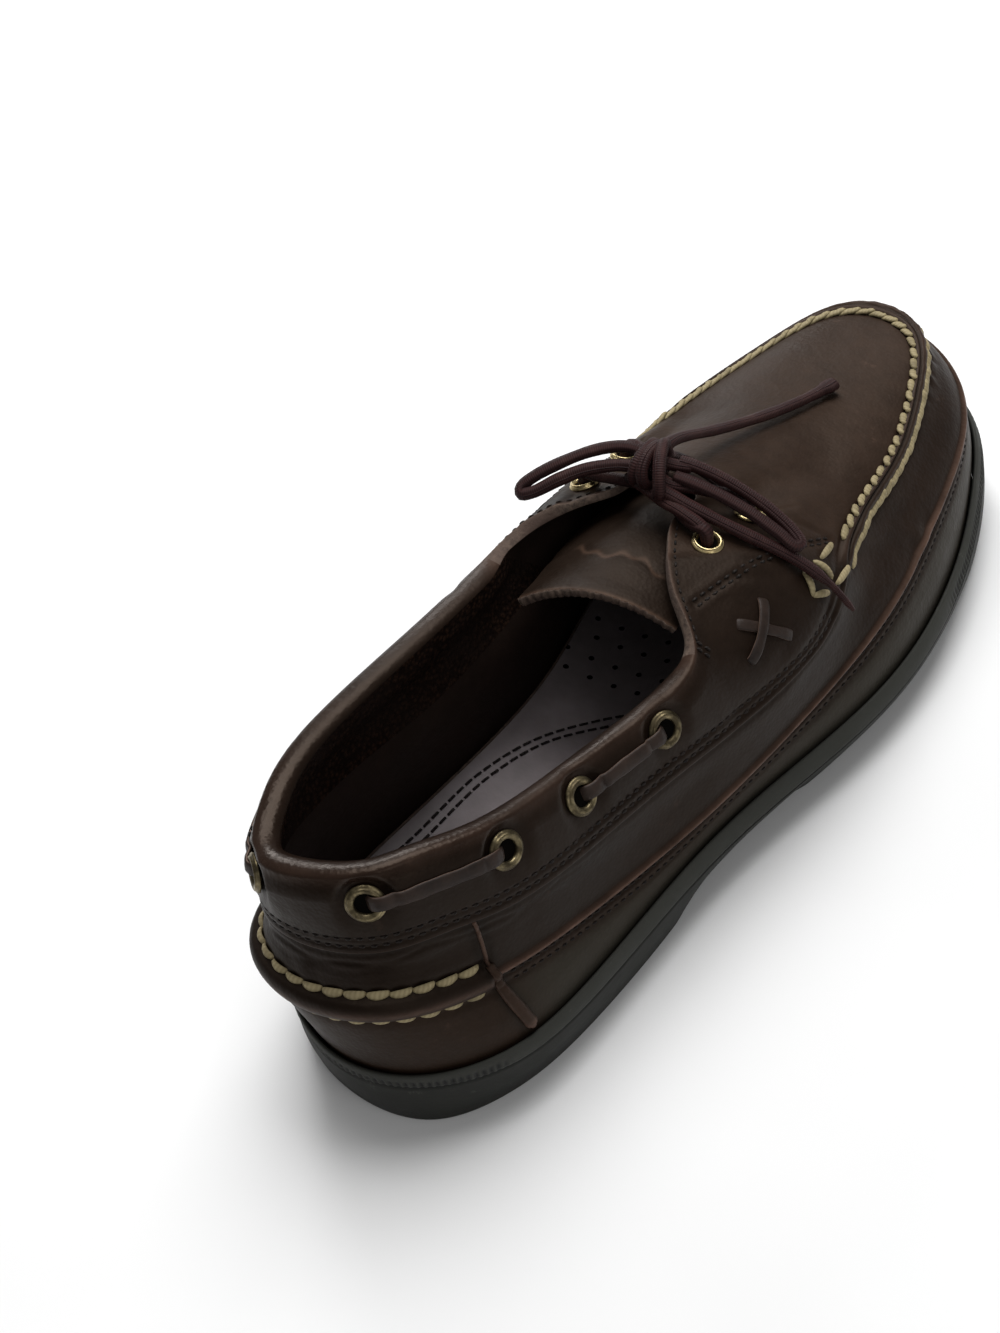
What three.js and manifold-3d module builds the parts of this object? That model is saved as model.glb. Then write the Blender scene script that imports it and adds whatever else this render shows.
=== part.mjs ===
// Boat shoe for the right foot: a moccasin upper with a rolled seam round its plug, a rubber cup sole,
// a cupped insole, a leather tongue, brass eyelets, rawhide collar lacing and a tied cotton lace.
//
// Millimetres. +Y runs from heel to toe, +X to the outer side of the foot, +Z up from the floor.
// The upper is one hollow wall. Its outer surface passes through six closed rings round the shoe:
// foot (inside the sole's cup), lip (at the sole's rim), ridge, seam, swell and mouth (the opening).

import * as THREE from "three";
import { mergeVertices } from "three/addons/utils/BufferGeometryUtils.js";
import Module from "manifold-3d";

const wasm = await Module();
wasm.setup();

// ---------------------------------------------------------------- driving sizes

const GAP = 0.35; // between neighbouring pieces
const COLUMNS = 88; // columns of the surface grid round the shoe, four for each station

const LEATHER = 2.2; // wall of the upper
const COLLAR_WALL = 6; // wall of the padded collar at its edge
const COLLAR_CROWN = 1.6; // how far the collar's rim is rounded up
const COLLAR_FRONT = 5.1; // the collar runs this many stations forward from the heel, on each side
const FOOT_INSET = 1.2; // the upper draws in by this much inside the sole's cup
const SWELL_PLACE = 0.5; // the swell ring's place between seam and mouth

const HEEL_FLOOR = 13; // inside floor of the cup sole, at the heel
const FORE_FLOOR = 9; // and under the ball of the foot
const FLOOR_FROM = -60; // the floor comes down between these two places
const FLOOR_TO = 25;

const HEEL_BREAST = -58; // front end of the heel's flat spot
const FORE_BACK = 4; // rear end of the forefoot's flat spot
const FORE_FRONT = 88; // front end of it
const ARCH_RISE = 3.5; // underside of the waist above the ground
const ARCH_SLOPE = 14; // length of the slope at each end of the arch
const TOE_SPRING = 8; // underside of the toe's tip above the ground
const TOE_TIP = 147;
const BASE_DROP = 4; // the sole is lofted this far below the ground, and then cut

const LIP_BAND = 5; // height of the sloping band round the top of the sole's wall
const LIP_THICK = 1.6; // rim of the sole outside the upper
const GROOVE_WIDTH = 2.4;
const GROOVE_DEPTH = 2;

const INSOLE_THICK = 5;
const INSOLE_GAP = 0.6; // round the insole's edge
const INSOLE_CUP = 6; // how far the insole's edge turns up

const TONGUE_THICK = 2.6;

const LACE_RADIUS = 1.6;
const RAWHIDE_WIDTH = 3.2;
const RAWHIDE_THICK = 1.3;

const COLLAR_EYELET = { bore: 2.6, barrel: 3.1, flange: 5.1 };
const POCKET_DEPTH = 2.6; // each collar eyelet sits in a pocket this deep in the padded collar
const LACE_EYELET = { bore: 2.3, barrel: 2.8, flange: 4.5 };

// The tables below stand at the heel's centre line. This moves the shoe to the middle of its own box.
const CENTRE = new THREE.Vector3(2.301, 0.531, 0);

// ---------------------------------------------------------------- tables

// Stations round the shoe: the heel's back, the outer side forward, the toe's tip, the inner side back.
// lip, ridge, seam and mouth are points of the upper's outer surface, tread is the sole's outline on the
// ground, rim is how far the sole's wall stands out past the lip, swell is how far the surface between
// seam and mouth stands off the straight line between them, and corner is 1 where the seam is a sharp
// rolled edge and 0 where the surface runs smoothly over it.
const STATIONS = [
  ["heel back", [0.5, -144.5, 23.5], [-1.5, -146, 47], [-1, -139.5, 61.5],
    [0, -1, 0], [-2, -135, 83], [0.5, -143.5], 1.5, 0],
  ["heel corner", [21, -140, 23], [19, -139.5, 48.5], [17.5, -132.5, 63],
    [0.5, -1, 0], [13.5, -127.5, 84.5], [22.5, -139], 1.5, 0],
  ["heel side", [35.5, -124.5, 22], [29, -124, 44], [27, -117.5, 61],
    [1, -0.5, 0], [21.5, -114.5, 83], [35, -122], 2, 0],
  ["heel side front", [41.5, -100, 20.5], [35, -100.5, 37.5], [34.5, -95.5, 56],
    [1, 0, 0], [27.5, -93.5, 77], [40.5, -98.5], 2.5, 0],
  ["waist rear", [42.5, -61.5, 20], [39, -62.5, 29.5], [38, -59.5, 50.5],
    [1, 0, 0], [30.5, -58, 69], [42, -62.5], 3, 0],
  ["waist", [45, -24.5, 19], [44, -25.5, 28.5], [43.5, -23.5, 47.5],
    [1.5, 0, 0], [34.5, -27, 69.5], [42, -30], 3.5, 0],
  ["ball rear", [52, 16, 18], [48, 15.5, 30.5], [48, 16, 49],
    [1.5, 0, 4], [21, -12.5, 76], [47.5, 9], 3.5, 0.4],
  ["ball", [53.5, 50.5, 18], [48.5, 49.5, 33.5], [37.5, 47, 54.5],
    [1, 0, 4.5], [10.5, 0.5, 78.5], [51.5, 45.5], 3.5, 1],
  ["toe side rear", [47.5, 83.5, 19.5], [42.5, 83, 36.5], [31.5, 78.5, 53.5],
    [1, 0, 0], [6, 10, 78.5], [48, 82.5], 3.5, 1],
  ["toe side", [36.5, 112.5, 22.5], [34, 111.5, 38.5], [22.5, 107, 54.5],
    [0.5, 0, -3.5], [6.5, 18, 78], [39, 113.5], 3.5, 1],
  ["toe corner", [21, 135, 26], [18.5, 132.5, 40.5], [10, 129, 56],
    [0, 0, -5], [3, 24, 77], [22, 136.5], 3.5, 1],
  ["toe tip", [-4, 144, 28], [-4.5, 142, 42], [-7.5, 136.5, 55],
    [0, 0, -5.5], [-4, 26, 77], [-4.5, 146.5], 3.5, 1],
  ["toe corner in", [-26.5, 136.5, 26.5], [-25, 135, 39], [-21.5, 130.5, 53.5],
    [0, 0, -5], [-11, 24, 77], [-29, 139.5], 3.5, 1],
  ["toe side in", [-42.5, 115, 23], [-40, 114.5, 35.5], [-31, 112, 51],
    [-0.5, 0, -3], [-14, 18, 78], [-45, 117], 3.5, 1],
  ["toe rear in", [-49, 84.5, 20], [-45, 84.5, 33], [-35.5, 84, 53.5],
    [-0.5, 0, -1], [-14.5, 10.5, 80], [-51, 85], 3.5, 1],
  ["ball in", [-47.5, 51, 19], [-43, 51, 33], [-34, 52.5, 59.5],
    [-1.5, 0, 2], [-20, 2, 80.5], [-49.5, 50], 3.5, 1],
  ["ball rear in", [-40.5, 16.5, 19.5], [-36, 17, 34], [-33, 18.5, 57],
    [-3, 0, 1.5], [-27.5, -11, 79], [-41, 15], 3.5, 0.4],
  ["waist in", [-32.5, -19, 20], [-28.5, -19, 35], [-26.5, -18.5, 55],
    [-2, 0, 0], [-30, -28.5, 77.5], [-32, -20], 3.5, 0],
  ["waist rear in", [-32, -58, 20.5], [-28.5, -58.5, 38], [-25.5, -59, 55],
    [-1, 0, 0], [-28.5, -59, 81], [-31.5, -58], 3, 0],
  ["heel front in", [-35, -97.5, 21.5], [-31.5, -98.5, 41], [-29, -98, 57],
    [-1, 0, 0], [-30, -99, 81.5], [-34, -97.5], 2.5, 0],
  ["heel side in", [-31.5, -121, 22.5], [-30, -123, 44], [-26.5, -120.5, 59],
    [-1, -0.5, 0], [-24.5, -121.5, 81], [-31.5, -121.5], 2, 0],
  ["heel corner in", [-19.5, -136, 23.5], [-21.5, -140, 46], [-18.5, -135.5, 60],
    [-0.5, -1, 0], [-15.5, -134, 81], [-20.5, -137], 1.5, 0],
].map(([name, lip, ridge, seam, swell, mouth, tread, rim, corner]) => (
  { name, lip, ridge, seam, swell, mouth, tread, rim, corner }
));

// Places on the outer side of the upper: u counts stations, v counts rings. The inner side mirrors u.
const COLLAR_EYELETS = [
  { u: 0.97, v: 4.35 },
  { u: 2.87, v: 4.35 },
  { u: 3.64, v: 4.35 },
  { u: 4.47, v: 4.42 },
];
const LACE_EYELETS = [
  { u: 6.9, v: 4.6 },
  { u: 7.45, v: 4.25 },
];

// Tongue from its free rear edge to its front end under the plug. outer and inner are the y of its two
// edges, middle and half its x, crown its height and drop how far the edges lie below it.
const TONGUE_ROWS = [
  { outer: -16, inner: -27, middle: 1, half: 22, crown: 76.5, drop: 8.5 },
  { outer: -10, inner: -18, middle: 0, half: 21.5, crown: 76.3, drop: 8.5 },
  { outer: -2, inner: -8, middle: -1.5, half: 20.5, crown: 76, drop: 8 },
  { outer: 8, inner: 4, middle: -3, half: 19, crown: 75.2, drop: 7 },
  { outer: 18, inner: 16, middle: -3.5, half: 17, crown: 73.6, drop: 6 },
  { outer: 27, inner: 27, middle: -4, half: 15, crown: 71, drop: 5 },
];

// Tread grooves across the heel and the forefoot, kept inside the sole's outline.
const TREAD_GROOVES = [
  { y: -128, width: 34 },
  { y: -112, width: 46 },
  { y: -96, width: 50 },
  { y: -80, width: 50 },
  { y: 16, width: 64 },
  { y: 32, width: 74 },
  { y: 48, width: 78 },
  { y: 64, width: 76 },
  { y: 80, width: 70 },
];

// Routes of the tied lace, chosen by hand. The knot sits over the throat.
const KNOT = { centre: [-4, 17, 87.5], size: [9, 8, 6] };
const LACE_ROUTES = {
  lace_loop_inner: [
    [-13.6, 20, 89], [-17.5, 19.8, 89], [-23, 16, 88.5], [-30, 9.5, 86.5], [-36, 4.5, 83.5],
    [-38.5, 1.5, 81], [-37.5, -0.5, 79.8], [-34, 0.5, 80.5], [-28, 5.5, 83.8], [-21.5, 10.5, 86], [-13.4, 14.5, 87],
  ],
  lace_loop_outer: [
    [5, 22.5, 86], [9, 25.5, 84], [15, 28.5, 80.8], [22, 31, 76.5], [29, 32, 71.5], [33.5, 31, 69],
    [34, 28, 69], [29.5, 25.3, 72.2], [22, 22.2, 77], [14, 19.8, 81.6], [6.3, 17.2, 85],
  ],
  lace_end_plug: [
    [-5.5, 27, 87.5], [-5.7, 33, 84.5], [-5.5, 42, 79], [-5, 52, 73.5], [-3.5, 63, 68.5],
    [-1, 74, 65], [1.5, 84, 62.8], [3.5, 92.5, 61.7],
  ],
  lace_end_side: [
    [4.6, 11.8, 84.6], [9.5, 13.4, 82.6], [17, 15.4, 79.2], [25, 18.6, 75], [33, 22.2, 70], [39.5, 24.6, 65],
    [45, 26.4, 59.8], [50, 28, 52.3],
  ],
};

// ---------------------------------------------------------------- splines

// Slopes that make a closed spline through the points smooth to the second derivative.
function closedSlopes(points) {
  const n = points.length;
  const chord = points.map((_, i) => points[(i + 1) % n].clone().sub(points[(i + n - 1) % n]));
  let slopes = chord.map((c) => c.clone().multiplyScalar(0.5));
  for (let pass = 0; pass < 40; pass += 1) {
    slopes = slopes.map((_, i) =>
      chord[i].clone().multiplyScalar(3).sub(slopes[(i + 1) % n]).sub(slopes[(i + n - 1) % n]).multiplyScalar(0.25),
    );
  }
  return slopes;
}

function hermite(p, m, q, k, t) {
  const t2 = t * t;
  const t3 = t2 * t;
  return p.clone().multiplyScalar(2 * t3 - 3 * t2 + 1)
    .addScaledVector(m, t3 - 2 * t2 + t)
    .addScaledVector(q, 3 * t2 - 2 * t3)
    .addScaledVector(k, t3 - t2);
}

function closedCurve(points) {
  const slopes = closedSlopes(points);
  const n = points.length;
  return (u) => {
    const place = ((u % n) + n) % n;
    const i = Math.floor(place) % n;
    const j = (i + 1) % n;
    return hermite(points[i], slopes[i], points[j], slopes[j], place - Math.floor(place));
  };
}

const clamp01 = (x) => Math.min(1, Math.max(0, x));
const smooth = (x) => clamp01(x) * clamp01(x) * (3 - 2 * clamp01(x));
const mix = (a, b, t) => a + (b - a) * t;

// ---------------------------------------------------------------- sole's side profile

// Height of the sole's underside at y.
function underside(y) {
  const arch = smooth((y - HEEL_BREAST) / ARCH_SLOPE) * smooth((FORE_BACK - y) / ARCH_SLOPE);
  const spring = Math.max(0, (y - FORE_FRONT) / (TOE_TIP - FORE_FRONT));
  return ARCH_RISE * arch + TOE_SPRING * spring * spring;
}

// Height of the cup's inside floor at y.
function floorHeight(y) {
  const drop = smooth((y - FLOOR_FROM) / (FLOOR_TO - FLOOR_FROM));
  const spring = Math.max(0, (y - FORE_FRONT) / (TOE_TIP - FORE_FRONT));
  return mix(HEEL_FLOOR, FORE_FLOOR, drop) + TOE_SPRING * spring * spring;
}

// ---------------------------------------------------------------- the upper's surface

const vector = (p) => new THREE.Vector3(p[0], p[1], p[2]);

// Outward direction in plan at each point of a ring.
function planNormals(ring) {
  const n = ring.length;
  return ring.map((_, i) => {
    const along = ring[(i + 1) % n].clone().sub(ring[(i + n - 1) % n]);
    return new THREE.Vector3(along.y, -along.x, 0).normalize();
  });
}

function offsetRing(ring, distance) {
  const normals = planNormals(ring);
  return ring.map((p, i) => p.clone().addScaledVector(normals[i], Array.isArray(distance) ? distance[i] : distance));
}

const lipRing = STATIONS.map((row) => vector(row.lip));
const seamRing = STATIONS.map((row) => vector(row.seam));
const mouthRing = STATIONS.map((row) => vector(row.mouth));
const footRing = offsetRing(lipRing, -FOOT_INSET).map((p) => p.setZ(floorHeight(p.y) + GAP));
const swellRing = STATIONS.map((row, i) => {
  const middle = seamRing[i].clone().lerp(mouthRing[i], SWELL_PLACE);
  return middle.add(vector(row.swell));
});
const RINGS = [footRing, lipRing, STATIONS.map((row) => vector(row.ridge)), seamRing, swellRing, mouthRing];
const CURVES = RINGS.map(closedCurve);
const treadCurve = closedCurve(STATIONS.map((row) => new THREE.Vector3(row.tread[0], row.tread[1], 0)));
const rimCurve = closedCurve(STATIONS.map((row) => new THREE.Vector3(row.rim, 0, 0)));
const SEAM_LEVEL = 3;
const cornerCurve = closedCurve(STATIONS.map((row) => new THREE.Vector3(row.corner, 0, 0)));

// Knots of the column at u, with the slope (per millimetre) below and above each.
function column(u) {
  const knots = CURVES.map((curve) => curve(u));
  const steps = knots.slice(1).map((p, i) => p.clone().sub(knots[i]));
  const lengths = steps.map((s) => s.length());
  const slopes = steps.map((s, i) => s.clone().divideScalar(lengths[i]));
  const last = knots.length - 1;
  const below = knots.map((_, i) => {
    if (i === 0) {
      return slopes[0].clone();
    }
    if (i === last) {
      return slopes[last - 1].clone();
    }
    const sum = slopes[i - 1].clone().multiplyScalar(lengths[i]).addScaledVector(slopes[i], lengths[i - 1]);
    return sum.divideScalar(lengths[i - 1] + lengths[i]);
  });
  const above = below.map((s) => s.clone());
  const corner = clamp01(cornerCurve(u).x);
  below[SEAM_LEVEL].lerp(slopes[SEAM_LEVEL - 1], corner);
  above[SEAM_LEVEL].lerp(slopes[SEAM_LEVEL], corner);
  return { knots, lengths, below, above };
}

// Point of the outer surface: u runs round the stations, v up through the rings.
function surface(u, v) {
  const { knots, lengths, below, above } = column(u);
  const i = Math.min(lengths.length - 1, Math.max(0, Math.floor(v)));
  const from = above[i].clone().multiplyScalar(lengths[i]);
  const to = below[i + 1].clone().multiplyScalar(lengths[i]);
  return hermite(knots[i], from, knots[i + 1], to, v - i);
}

function outward(u, v) {
  const e = 0.01;
  const top = RINGS.length - 1;
  const round = surface(u + e, v).sub(surface(u - e, v));
  const up = surface(u, Math.min(top, v + e)).sub(surface(u, Math.max(0, v - e)));
  return round.cross(up).normalize();
}

// 1 along the padded collar, 0 at the facings and the plug.
function collar(u) {
  const n = STATIONS.length;
  const fromHeel = Math.min(u, n - u);
  return smooth((COLLAR_FRONT + 0.4 - fromHeel) / 0.8);
}

function wall(u, v) {
  return mix(LEATHER, COLLAR_WALL, collar(u) * smooth((v - 3.9) / 0.75));
}

function inside(u, v, extra = 0) {
  return surface(u, v).addScaledVector(outward(u, v), -(wall(u, v) + extra));
}

// ---------------------------------------------------------------- solids

class Body {
  constructor() {
    this.points = [];
    this.faces = [];
  }

  add(point) {
    this.points.push(point.x, point.y, point.z);
    return this.points.length / 3 - 1;
  }

  ring(points) {
    return points.map((p) => this.add(p));
  }

  quad(a, b, c, d) {
    this.faces.push(a, b, c, a, c, d);
  }

  // Band between two closed rings of vertices.
  band(low, high) {
    const n = low.length;
    for (let i = 0; i < n; i += 1) {
      const j = (i + 1) % n;
      this.quad(low[i], low[j], high[j], high[i]);
    }
  }

  // Cap over a ring whose columns i and n - i face each other across the shoe.
  cap(ring, points, upwards, across, shape) {
    const half = ring.length / 2;
    const rows = [[ring[0]]];
    for (let i = 1; i < half; i += 1) {
      const a = points[i];
      const b = points[ring.length - i];
      const row = [ring[i]];
      for (let k = 1; k < across; k += 1) {
        row.push(this.add(shape(a.clone().lerp(b, k / across), k / across)));
      }
      row.push(ring[ring.length - i]);
      rows.push(row);
    }
    rows.push([ring[half]]);
    const face = (a, b, c) => (upwards ? this.faces.push(a, b, c) : this.faces.push(a, c, b));
    for (let r = 0; r < rows.length - 1; r += 1) {
      const low = rows[r];
      const high = rows[r + 1];
      for (let k = 0; k < across; k += 1) {
        if (low.length === 1) {
          face(low[0], high[k], high[k + 1]);
        } else if (high.length === 1) {
          face(low[k], high[0], low[k + 1]);
        } else {
          face(low[k], high[k], high[k + 1]);
          face(low[k], high[k + 1], low[k + 1]);
        }
      }
    }
  }

  geometry() {
    const geometry = new THREE.BufferGeometry();
    geometry.setAttribute("position", new THREE.Float32BufferAttribute(this.points, 3));
    geometry.setIndex(this.faces);
    return geometry;
  }
}

function solid(geometry) {
  const position = geometry.getAttribute("position");
  return new wasm.Manifold(new wasm.Mesh({
    numProp: 3,
    vertProperties: new Float32Array(position.array),
    triVerts: new Uint32Array(geometry.getIndex().array),
  }));
}

function geometryOf(manifold) {
  const mesh = manifold.getMesh();
  const geometry = new THREE.BufferGeometry();
  geometry.setAttribute("position", new THREE.Float32BufferAttribute(mesh.vertProperties, 3));
  geometry.setIndex(new THREE.BufferAttribute(mesh.triVerts, 1));
  return geometry;
}

// A three.js primitive with only its positions, its shared vertices merged.
function plain(geometry) {
  geometry.deleteAttribute("normal");
  geometry.deleteAttribute("uv");
  return mergeVertices(geometry, 1e-4);
}

const stationOf = (columnIndex) => (columnIndex * STATIONS.length) / COLUMNS;
const everyColumn = (make) => Array.from({ length: COLUMNS }, (_, i) => make(stationOf(i), i));

// Turns +Y to a direction and moves the origin to a point.
function placed(geometry, point, direction) {
  const turn = new THREE.Quaternion().setFromUnitVectors(new THREE.Vector3(0, 1, 0), direction);
  return geometry.applyQuaternion(turn).translate(point.x, point.y, point.z);
}

// ---------------------------------------------------------------- upper

const ROWS = [0, 0.5, 1, 1.35, 1.7, 2, 2.35, 2.7, 3, 3.12, 3.35, 3.65, 4, 4.35, 4.65, 4.87, 5];

function upperShell() {
  const body = new Body();
  const outer = ROWS.map((v) => body.ring(everyColumn((u) => surface(u, v))));
  const crown = body.ring(everyColumn((u) => {
    const top = surface(u, 5).lerp(inside(u, 5), 0.5);
    const rise = surface(u, 5).sub(surface(u, 4.9)).normalize();
    return top.addScaledVector(rise, mix(0.3, COLLAR_CROWN, collar(u)));
  }));
  const inner = ROWS.slice().reverse().map((v) => body.ring(everyColumn((u) => inside(u, v))));
  const loops = [...outer, crown, ...inner];
  loops.forEach((loop, i) => body.band(loop, loops[(i + 1) % loops.length]));
  return solid(body.geometry());
}

// ---------------------------------------------------------------- sole

function soleSolid() {
  const lip = everyColumn((u) => surface(u, 1));
  const rims = everyColumn((u) => rimCurve(u).x);
  const tread = everyColumn((u) => treadCurve(u)).map((p) => p.setZ(underside(p.y)));
  const rim = offsetRing(lip, LIP_THICK);
  const widest = offsetRing(lip, rims).map((p) => p.setZ(p.z - LIP_BAND));
  const belly = tread.map((p, i) => p.clone().lerp(widest[i], 0.55).addScaledVector(planNormals(tread)[i], 0.6));
  const base = tread.map((p) => p.clone().setZ(-BASE_DROP));
  const rimIn = offsetRing(lip, -LEATHER);
  const body = new Body();
  const loops = [base, tread, belly, widest, rim, rimIn].map((points) => body.ring(points));
  loops.slice(1).forEach((loop, i) => body.band(loops[i], loop));
  body.cap(loops[0], base, false, 1);
  body.cap(loops[5], rimIn, true, 1);

  const cup = new Body();
  const levels = [0, 0.35, 0.7, 1];
  const walls = levels.map((v) => offsetRing(everyColumn((u) => surface(u, v)), GAP));
  walls[0].forEach((p) => p.setZ(floorHeight(p.y)));
  walls.push(walls[3].map((p) => p.clone().setZ(p.z + LIP_BAND)));
  const cupLoops = walls.map((points) => cup.ring(points));
  cupLoops.slice(1).forEach((loop, i) => cup.band(cupLoops[i], loop));
  cup.cap(cupLoops[0], walls[0], false, 1);
  cup.cap(cupLoops[4], walls[4], true, 1);

  let sole = solid(body.geometry()).subtract(solid(cup.geometry()));
  sole = sole.subtract(undersideCut());
  TREAD_GROOVES.forEach(({ y, width }) => {
    const groove = plain(new THREE.BoxGeometry(width, GROOVE_WIDTH, 2 * GROOVE_DEPTH));
    groove.translate(treadCentre(y), y, 0);
    sole = sole.subtract(solid(groove));
  });
  return sole;
}

// Everything below the sole's underside, as one block with the profile on its top.
function undersideCut() {
  const steps = 60;
  const back = -TOE_TIP - 10;
  const front = TOE_TIP + 10;
  const shape = new THREE.Shape();
  shape.moveTo(back, -2 * BASE_DROP);
  shape.lineTo(front, -2 * BASE_DROP);
  for (let i = steps; i >= 0; i -= 1) {
    const y = mix(back, front, i / steps);
    shape.lineTo(y, underside(y));
  }
  const block = new THREE.ExtrudeGeometry(shape, { depth: 140, bevelEnabled: false, curveSegments: 1 });
  const axes = new THREE.Matrix4().makeBasis(
    new THREE.Vector3(0, 1, 0),
    new THREE.Vector3(0, 0, 1),
    new THREE.Vector3(1, 0, 0),
  );
  return solid(plain(block.applyMatrix4(axes).translate(-70, 0, 0)));
}

// Middle of the tread between its two sides at y.
function treadCentre(y) {
  const side = (list) => list.reduce((best, p) => (Math.abs(p.y - y) < Math.abs(best.y - y) ? p : best));
  const points = everyColumn((u) => treadCurve(u));
  const outer = side(points.slice(0, COLUMNS / 2));
  const inner = side(points.slice(COLUMNS / 2));
  return (outer.x + inner.x) / 2;
}

// ---------------------------------------------------------------- insole

function insoleSolid() {
  const bottom = offsetRing(everyColumn((u) => inside(u, 0)), -INSOLE_GAP).map((p) => p.setZ(floorHeight(p.y) + GAP));
  const edge = offsetRing(everyColumn((u) => inside(u, 0.8)), -INSOLE_GAP)
    .map((p) => p.setZ(floorHeight(p.y) + INSOLE_THICK + INSOLE_CUP * 0.6));
  const body = new Body();
  const low = body.ring(bottom);
  const high = body.ring(edge);
  body.band(low, high);
  body.cap(low, bottom, false, 1);
  body.cap(high, edge, true, 8, (p, s) => {
    const side = Math.abs(2 * s - 1);
    return p.setZ(floorHeight(p.y) + INSOLE_THICK + INSOLE_CUP * 0.6 * side ** 4);
  });
  return body.geometry();
}

// ---------------------------------------------------------------- tongue

function tonguePoint(row, s) {
  const skew = row.inner + (row.outer - row.inner) * (s + 1) / 2;
  const x = row.middle + row.half * s;
  return new THREE.Vector3(x, skew, row.crown - row.drop * s * s);
}

function tongueSolid() {
  const across = 12;
  const rows = TONGUE_ROWS.map((row) => Array.from({ length: across + 1 }, (_, k) => tonguePoint(row, 2 * k / across - 1)));
  const body = new Body();
  const top = rows.map((row) => row.map((p) => body.add(p)));
  const down = (p, i, k) => {
    const row = TONGUE_ROWS[i];
    const s = 2 * k / across - 1;
    const lean = Math.atan(2 * row.drop * s / row.half);
    return new THREE.Vector3(p.x - TONGUE_THICK * Math.sin(lean), p.y, p.z - TONGUE_THICK * Math.cos(lean));
  };
  const low = rows.map((row, i) => row.map((p, k) => body.add(down(p, i, k))));
  const last = rows.length - 1;
  for (let i = 0; i < last; i += 1) {
    for (let k = 0; k < across; k += 1) {
      body.quad(top[i][k], top[i][k + 1], top[i + 1][k + 1], top[i + 1][k]);
      body.quad(low[i][k], low[i + 1][k], low[i + 1][k + 1], low[i][k + 1]);
    }
    body.quad(low[i][0], top[i][0], top[i + 1][0], low[i + 1][0]);
    body.quad(top[i][across], low[i][across], low[i + 1][across], top[i + 1][across]);
  }
  for (let k = 0; k < across; k += 1) {
    body.quad(low[0][k], low[0][k + 1], top[0][k + 1], top[0][k]);
    body.quad(top[last][k], top[last][k + 1], low[last][k + 1], low[last][k]);
  }
  return body.geometry();
}

// ---------------------------------------------------------------- eyelets and laces

// A rolled metal eyelet: a barrel into the leather and a domed flange outside. One that goes through the
// whole wall has a flat flange inside as well.
function eyeletGeometry(size, depth, through) {
  const lift = 0.45;
  const insideFlange = [
    [size.bore, -depth - 1.7],
    [size.flange - 1.2, -depth - 1.7],
    [size.flange - 1.2, -depth - 1],
    [size.barrel, -depth - 1],
  ];
  const barrelEnd = [
    [size.bore, -depth],
    [size.barrel, -depth],
  ];
  const profile = [
    ...(through ? insideFlange : barrelEnd),
    [size.barrel, lift],
    [size.flange, lift],
    [size.flange - 0.5, lift + 0.75],
    [size.flange - 1.7, lift + 1.05],
    [size.bore, lift + 0.6],
    [size.bore, through ? -depth - 1.7 : -depth],
  ].map(([r, h]) => new THREE.Vector2(r, h));
  return plain(new THREE.LatheGeometry(profile, 18));
}

function holeSolid(place, size, depth) {
  const height = 12;
  const hole = plain(new THREE.CylinderGeometry(size.barrel + GAP, size.barrel + GAP, height + depth, 18));
  hole.translate(0, (height - depth) / 2, 0);
  return solid(placed(hole, surface(place.u, place.v), outward(place.u, place.v)));
}

// Flat strip along points of the surface, each raised by its lift. across is the strip's flat direction.
function stripGeometry(centres, normals, width, thick) {
  const body = new Body();
  const loops = centres.map((centre, i) => {
    const before = centres[Math.max(0, i - 1)];
    const after = centres[Math.min(centres.length - 1, i + 1)];
    const along = after.clone().sub(before).normalize();
    const across = along.clone().cross(normals[i]).normalize();
    const up = across.clone().cross(along).normalize();
    const corner = (a, b) => body.add(centre.clone().addScaledVector(across, (a * width) / 2).addScaledVector(up, (b * thick) / 2));
    return [corner(-1, -1), corner(1, -1), corner(1, 1), corner(-1, 1)];
  });
  for (let i = 0; i < loops.length - 1; i += 1) {
    body.band(loops[i + 1], loops[i]);
  }
  const first = loops[0];
  const final = loops[loops.length - 1];
  body.quad(first[0], first[1], first[2], first[3]);
  body.quad(final[3], final[2], final[1], final[0]);
  return body.geometry();
}

// Rawhide between two eyelets: out of one bore, over its flange, along the collar and into the next.
function rawhideGeometry(from, to) {
  const steps = [[-0.6, -1.4], [-0.4, 0.9], [1.1, 2.7], [3, 3.05], [5.4, 2.8], [8, 1.7]];
  const start = surface(from.u, from.v);
  const reach = surface(to.u, to.v).distanceTo(start);
  const path = steps.map(([d, h]) => [d / reach, h]);
  path.push([0.5, 1.4]);
  path.push(...steps.slice().reverse().map(([d, h]) => [1 - d / reach, h]));
  const normals = path.map(([t]) => outward(mix(from.u, to.u, t), mix(from.v, to.v, t)));
  const centres = path.map(([t, h], i) => surface(mix(from.u, to.u, t), mix(from.v, to.v, t)).addScaledVector(normals[i], h));
  return stripGeometry(centres, normals, RAWHIDE_WIDTH, RAWHIDE_THICK);
}

function cordGeometry(points, radius, steps) {
  const section = new THREE.Shape();
  section.absarc(0, 0, radius, 0, 2 * Math.PI, false);
  const extrudePath = new THREE.CatmullRomCurve3(points.map(vector), false, "centripetal");
  return plain(new THREE.ExtrudeGeometry(section, { steps, extrudePath, curveSegments: 4, bevelEnabled: false }));
}

function eyeletAt(place, size, depth, through) {
  return placed(eyeletGeometry(size, depth, through), surface(place.u, place.v), outward(place.u, place.v));
}

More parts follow.
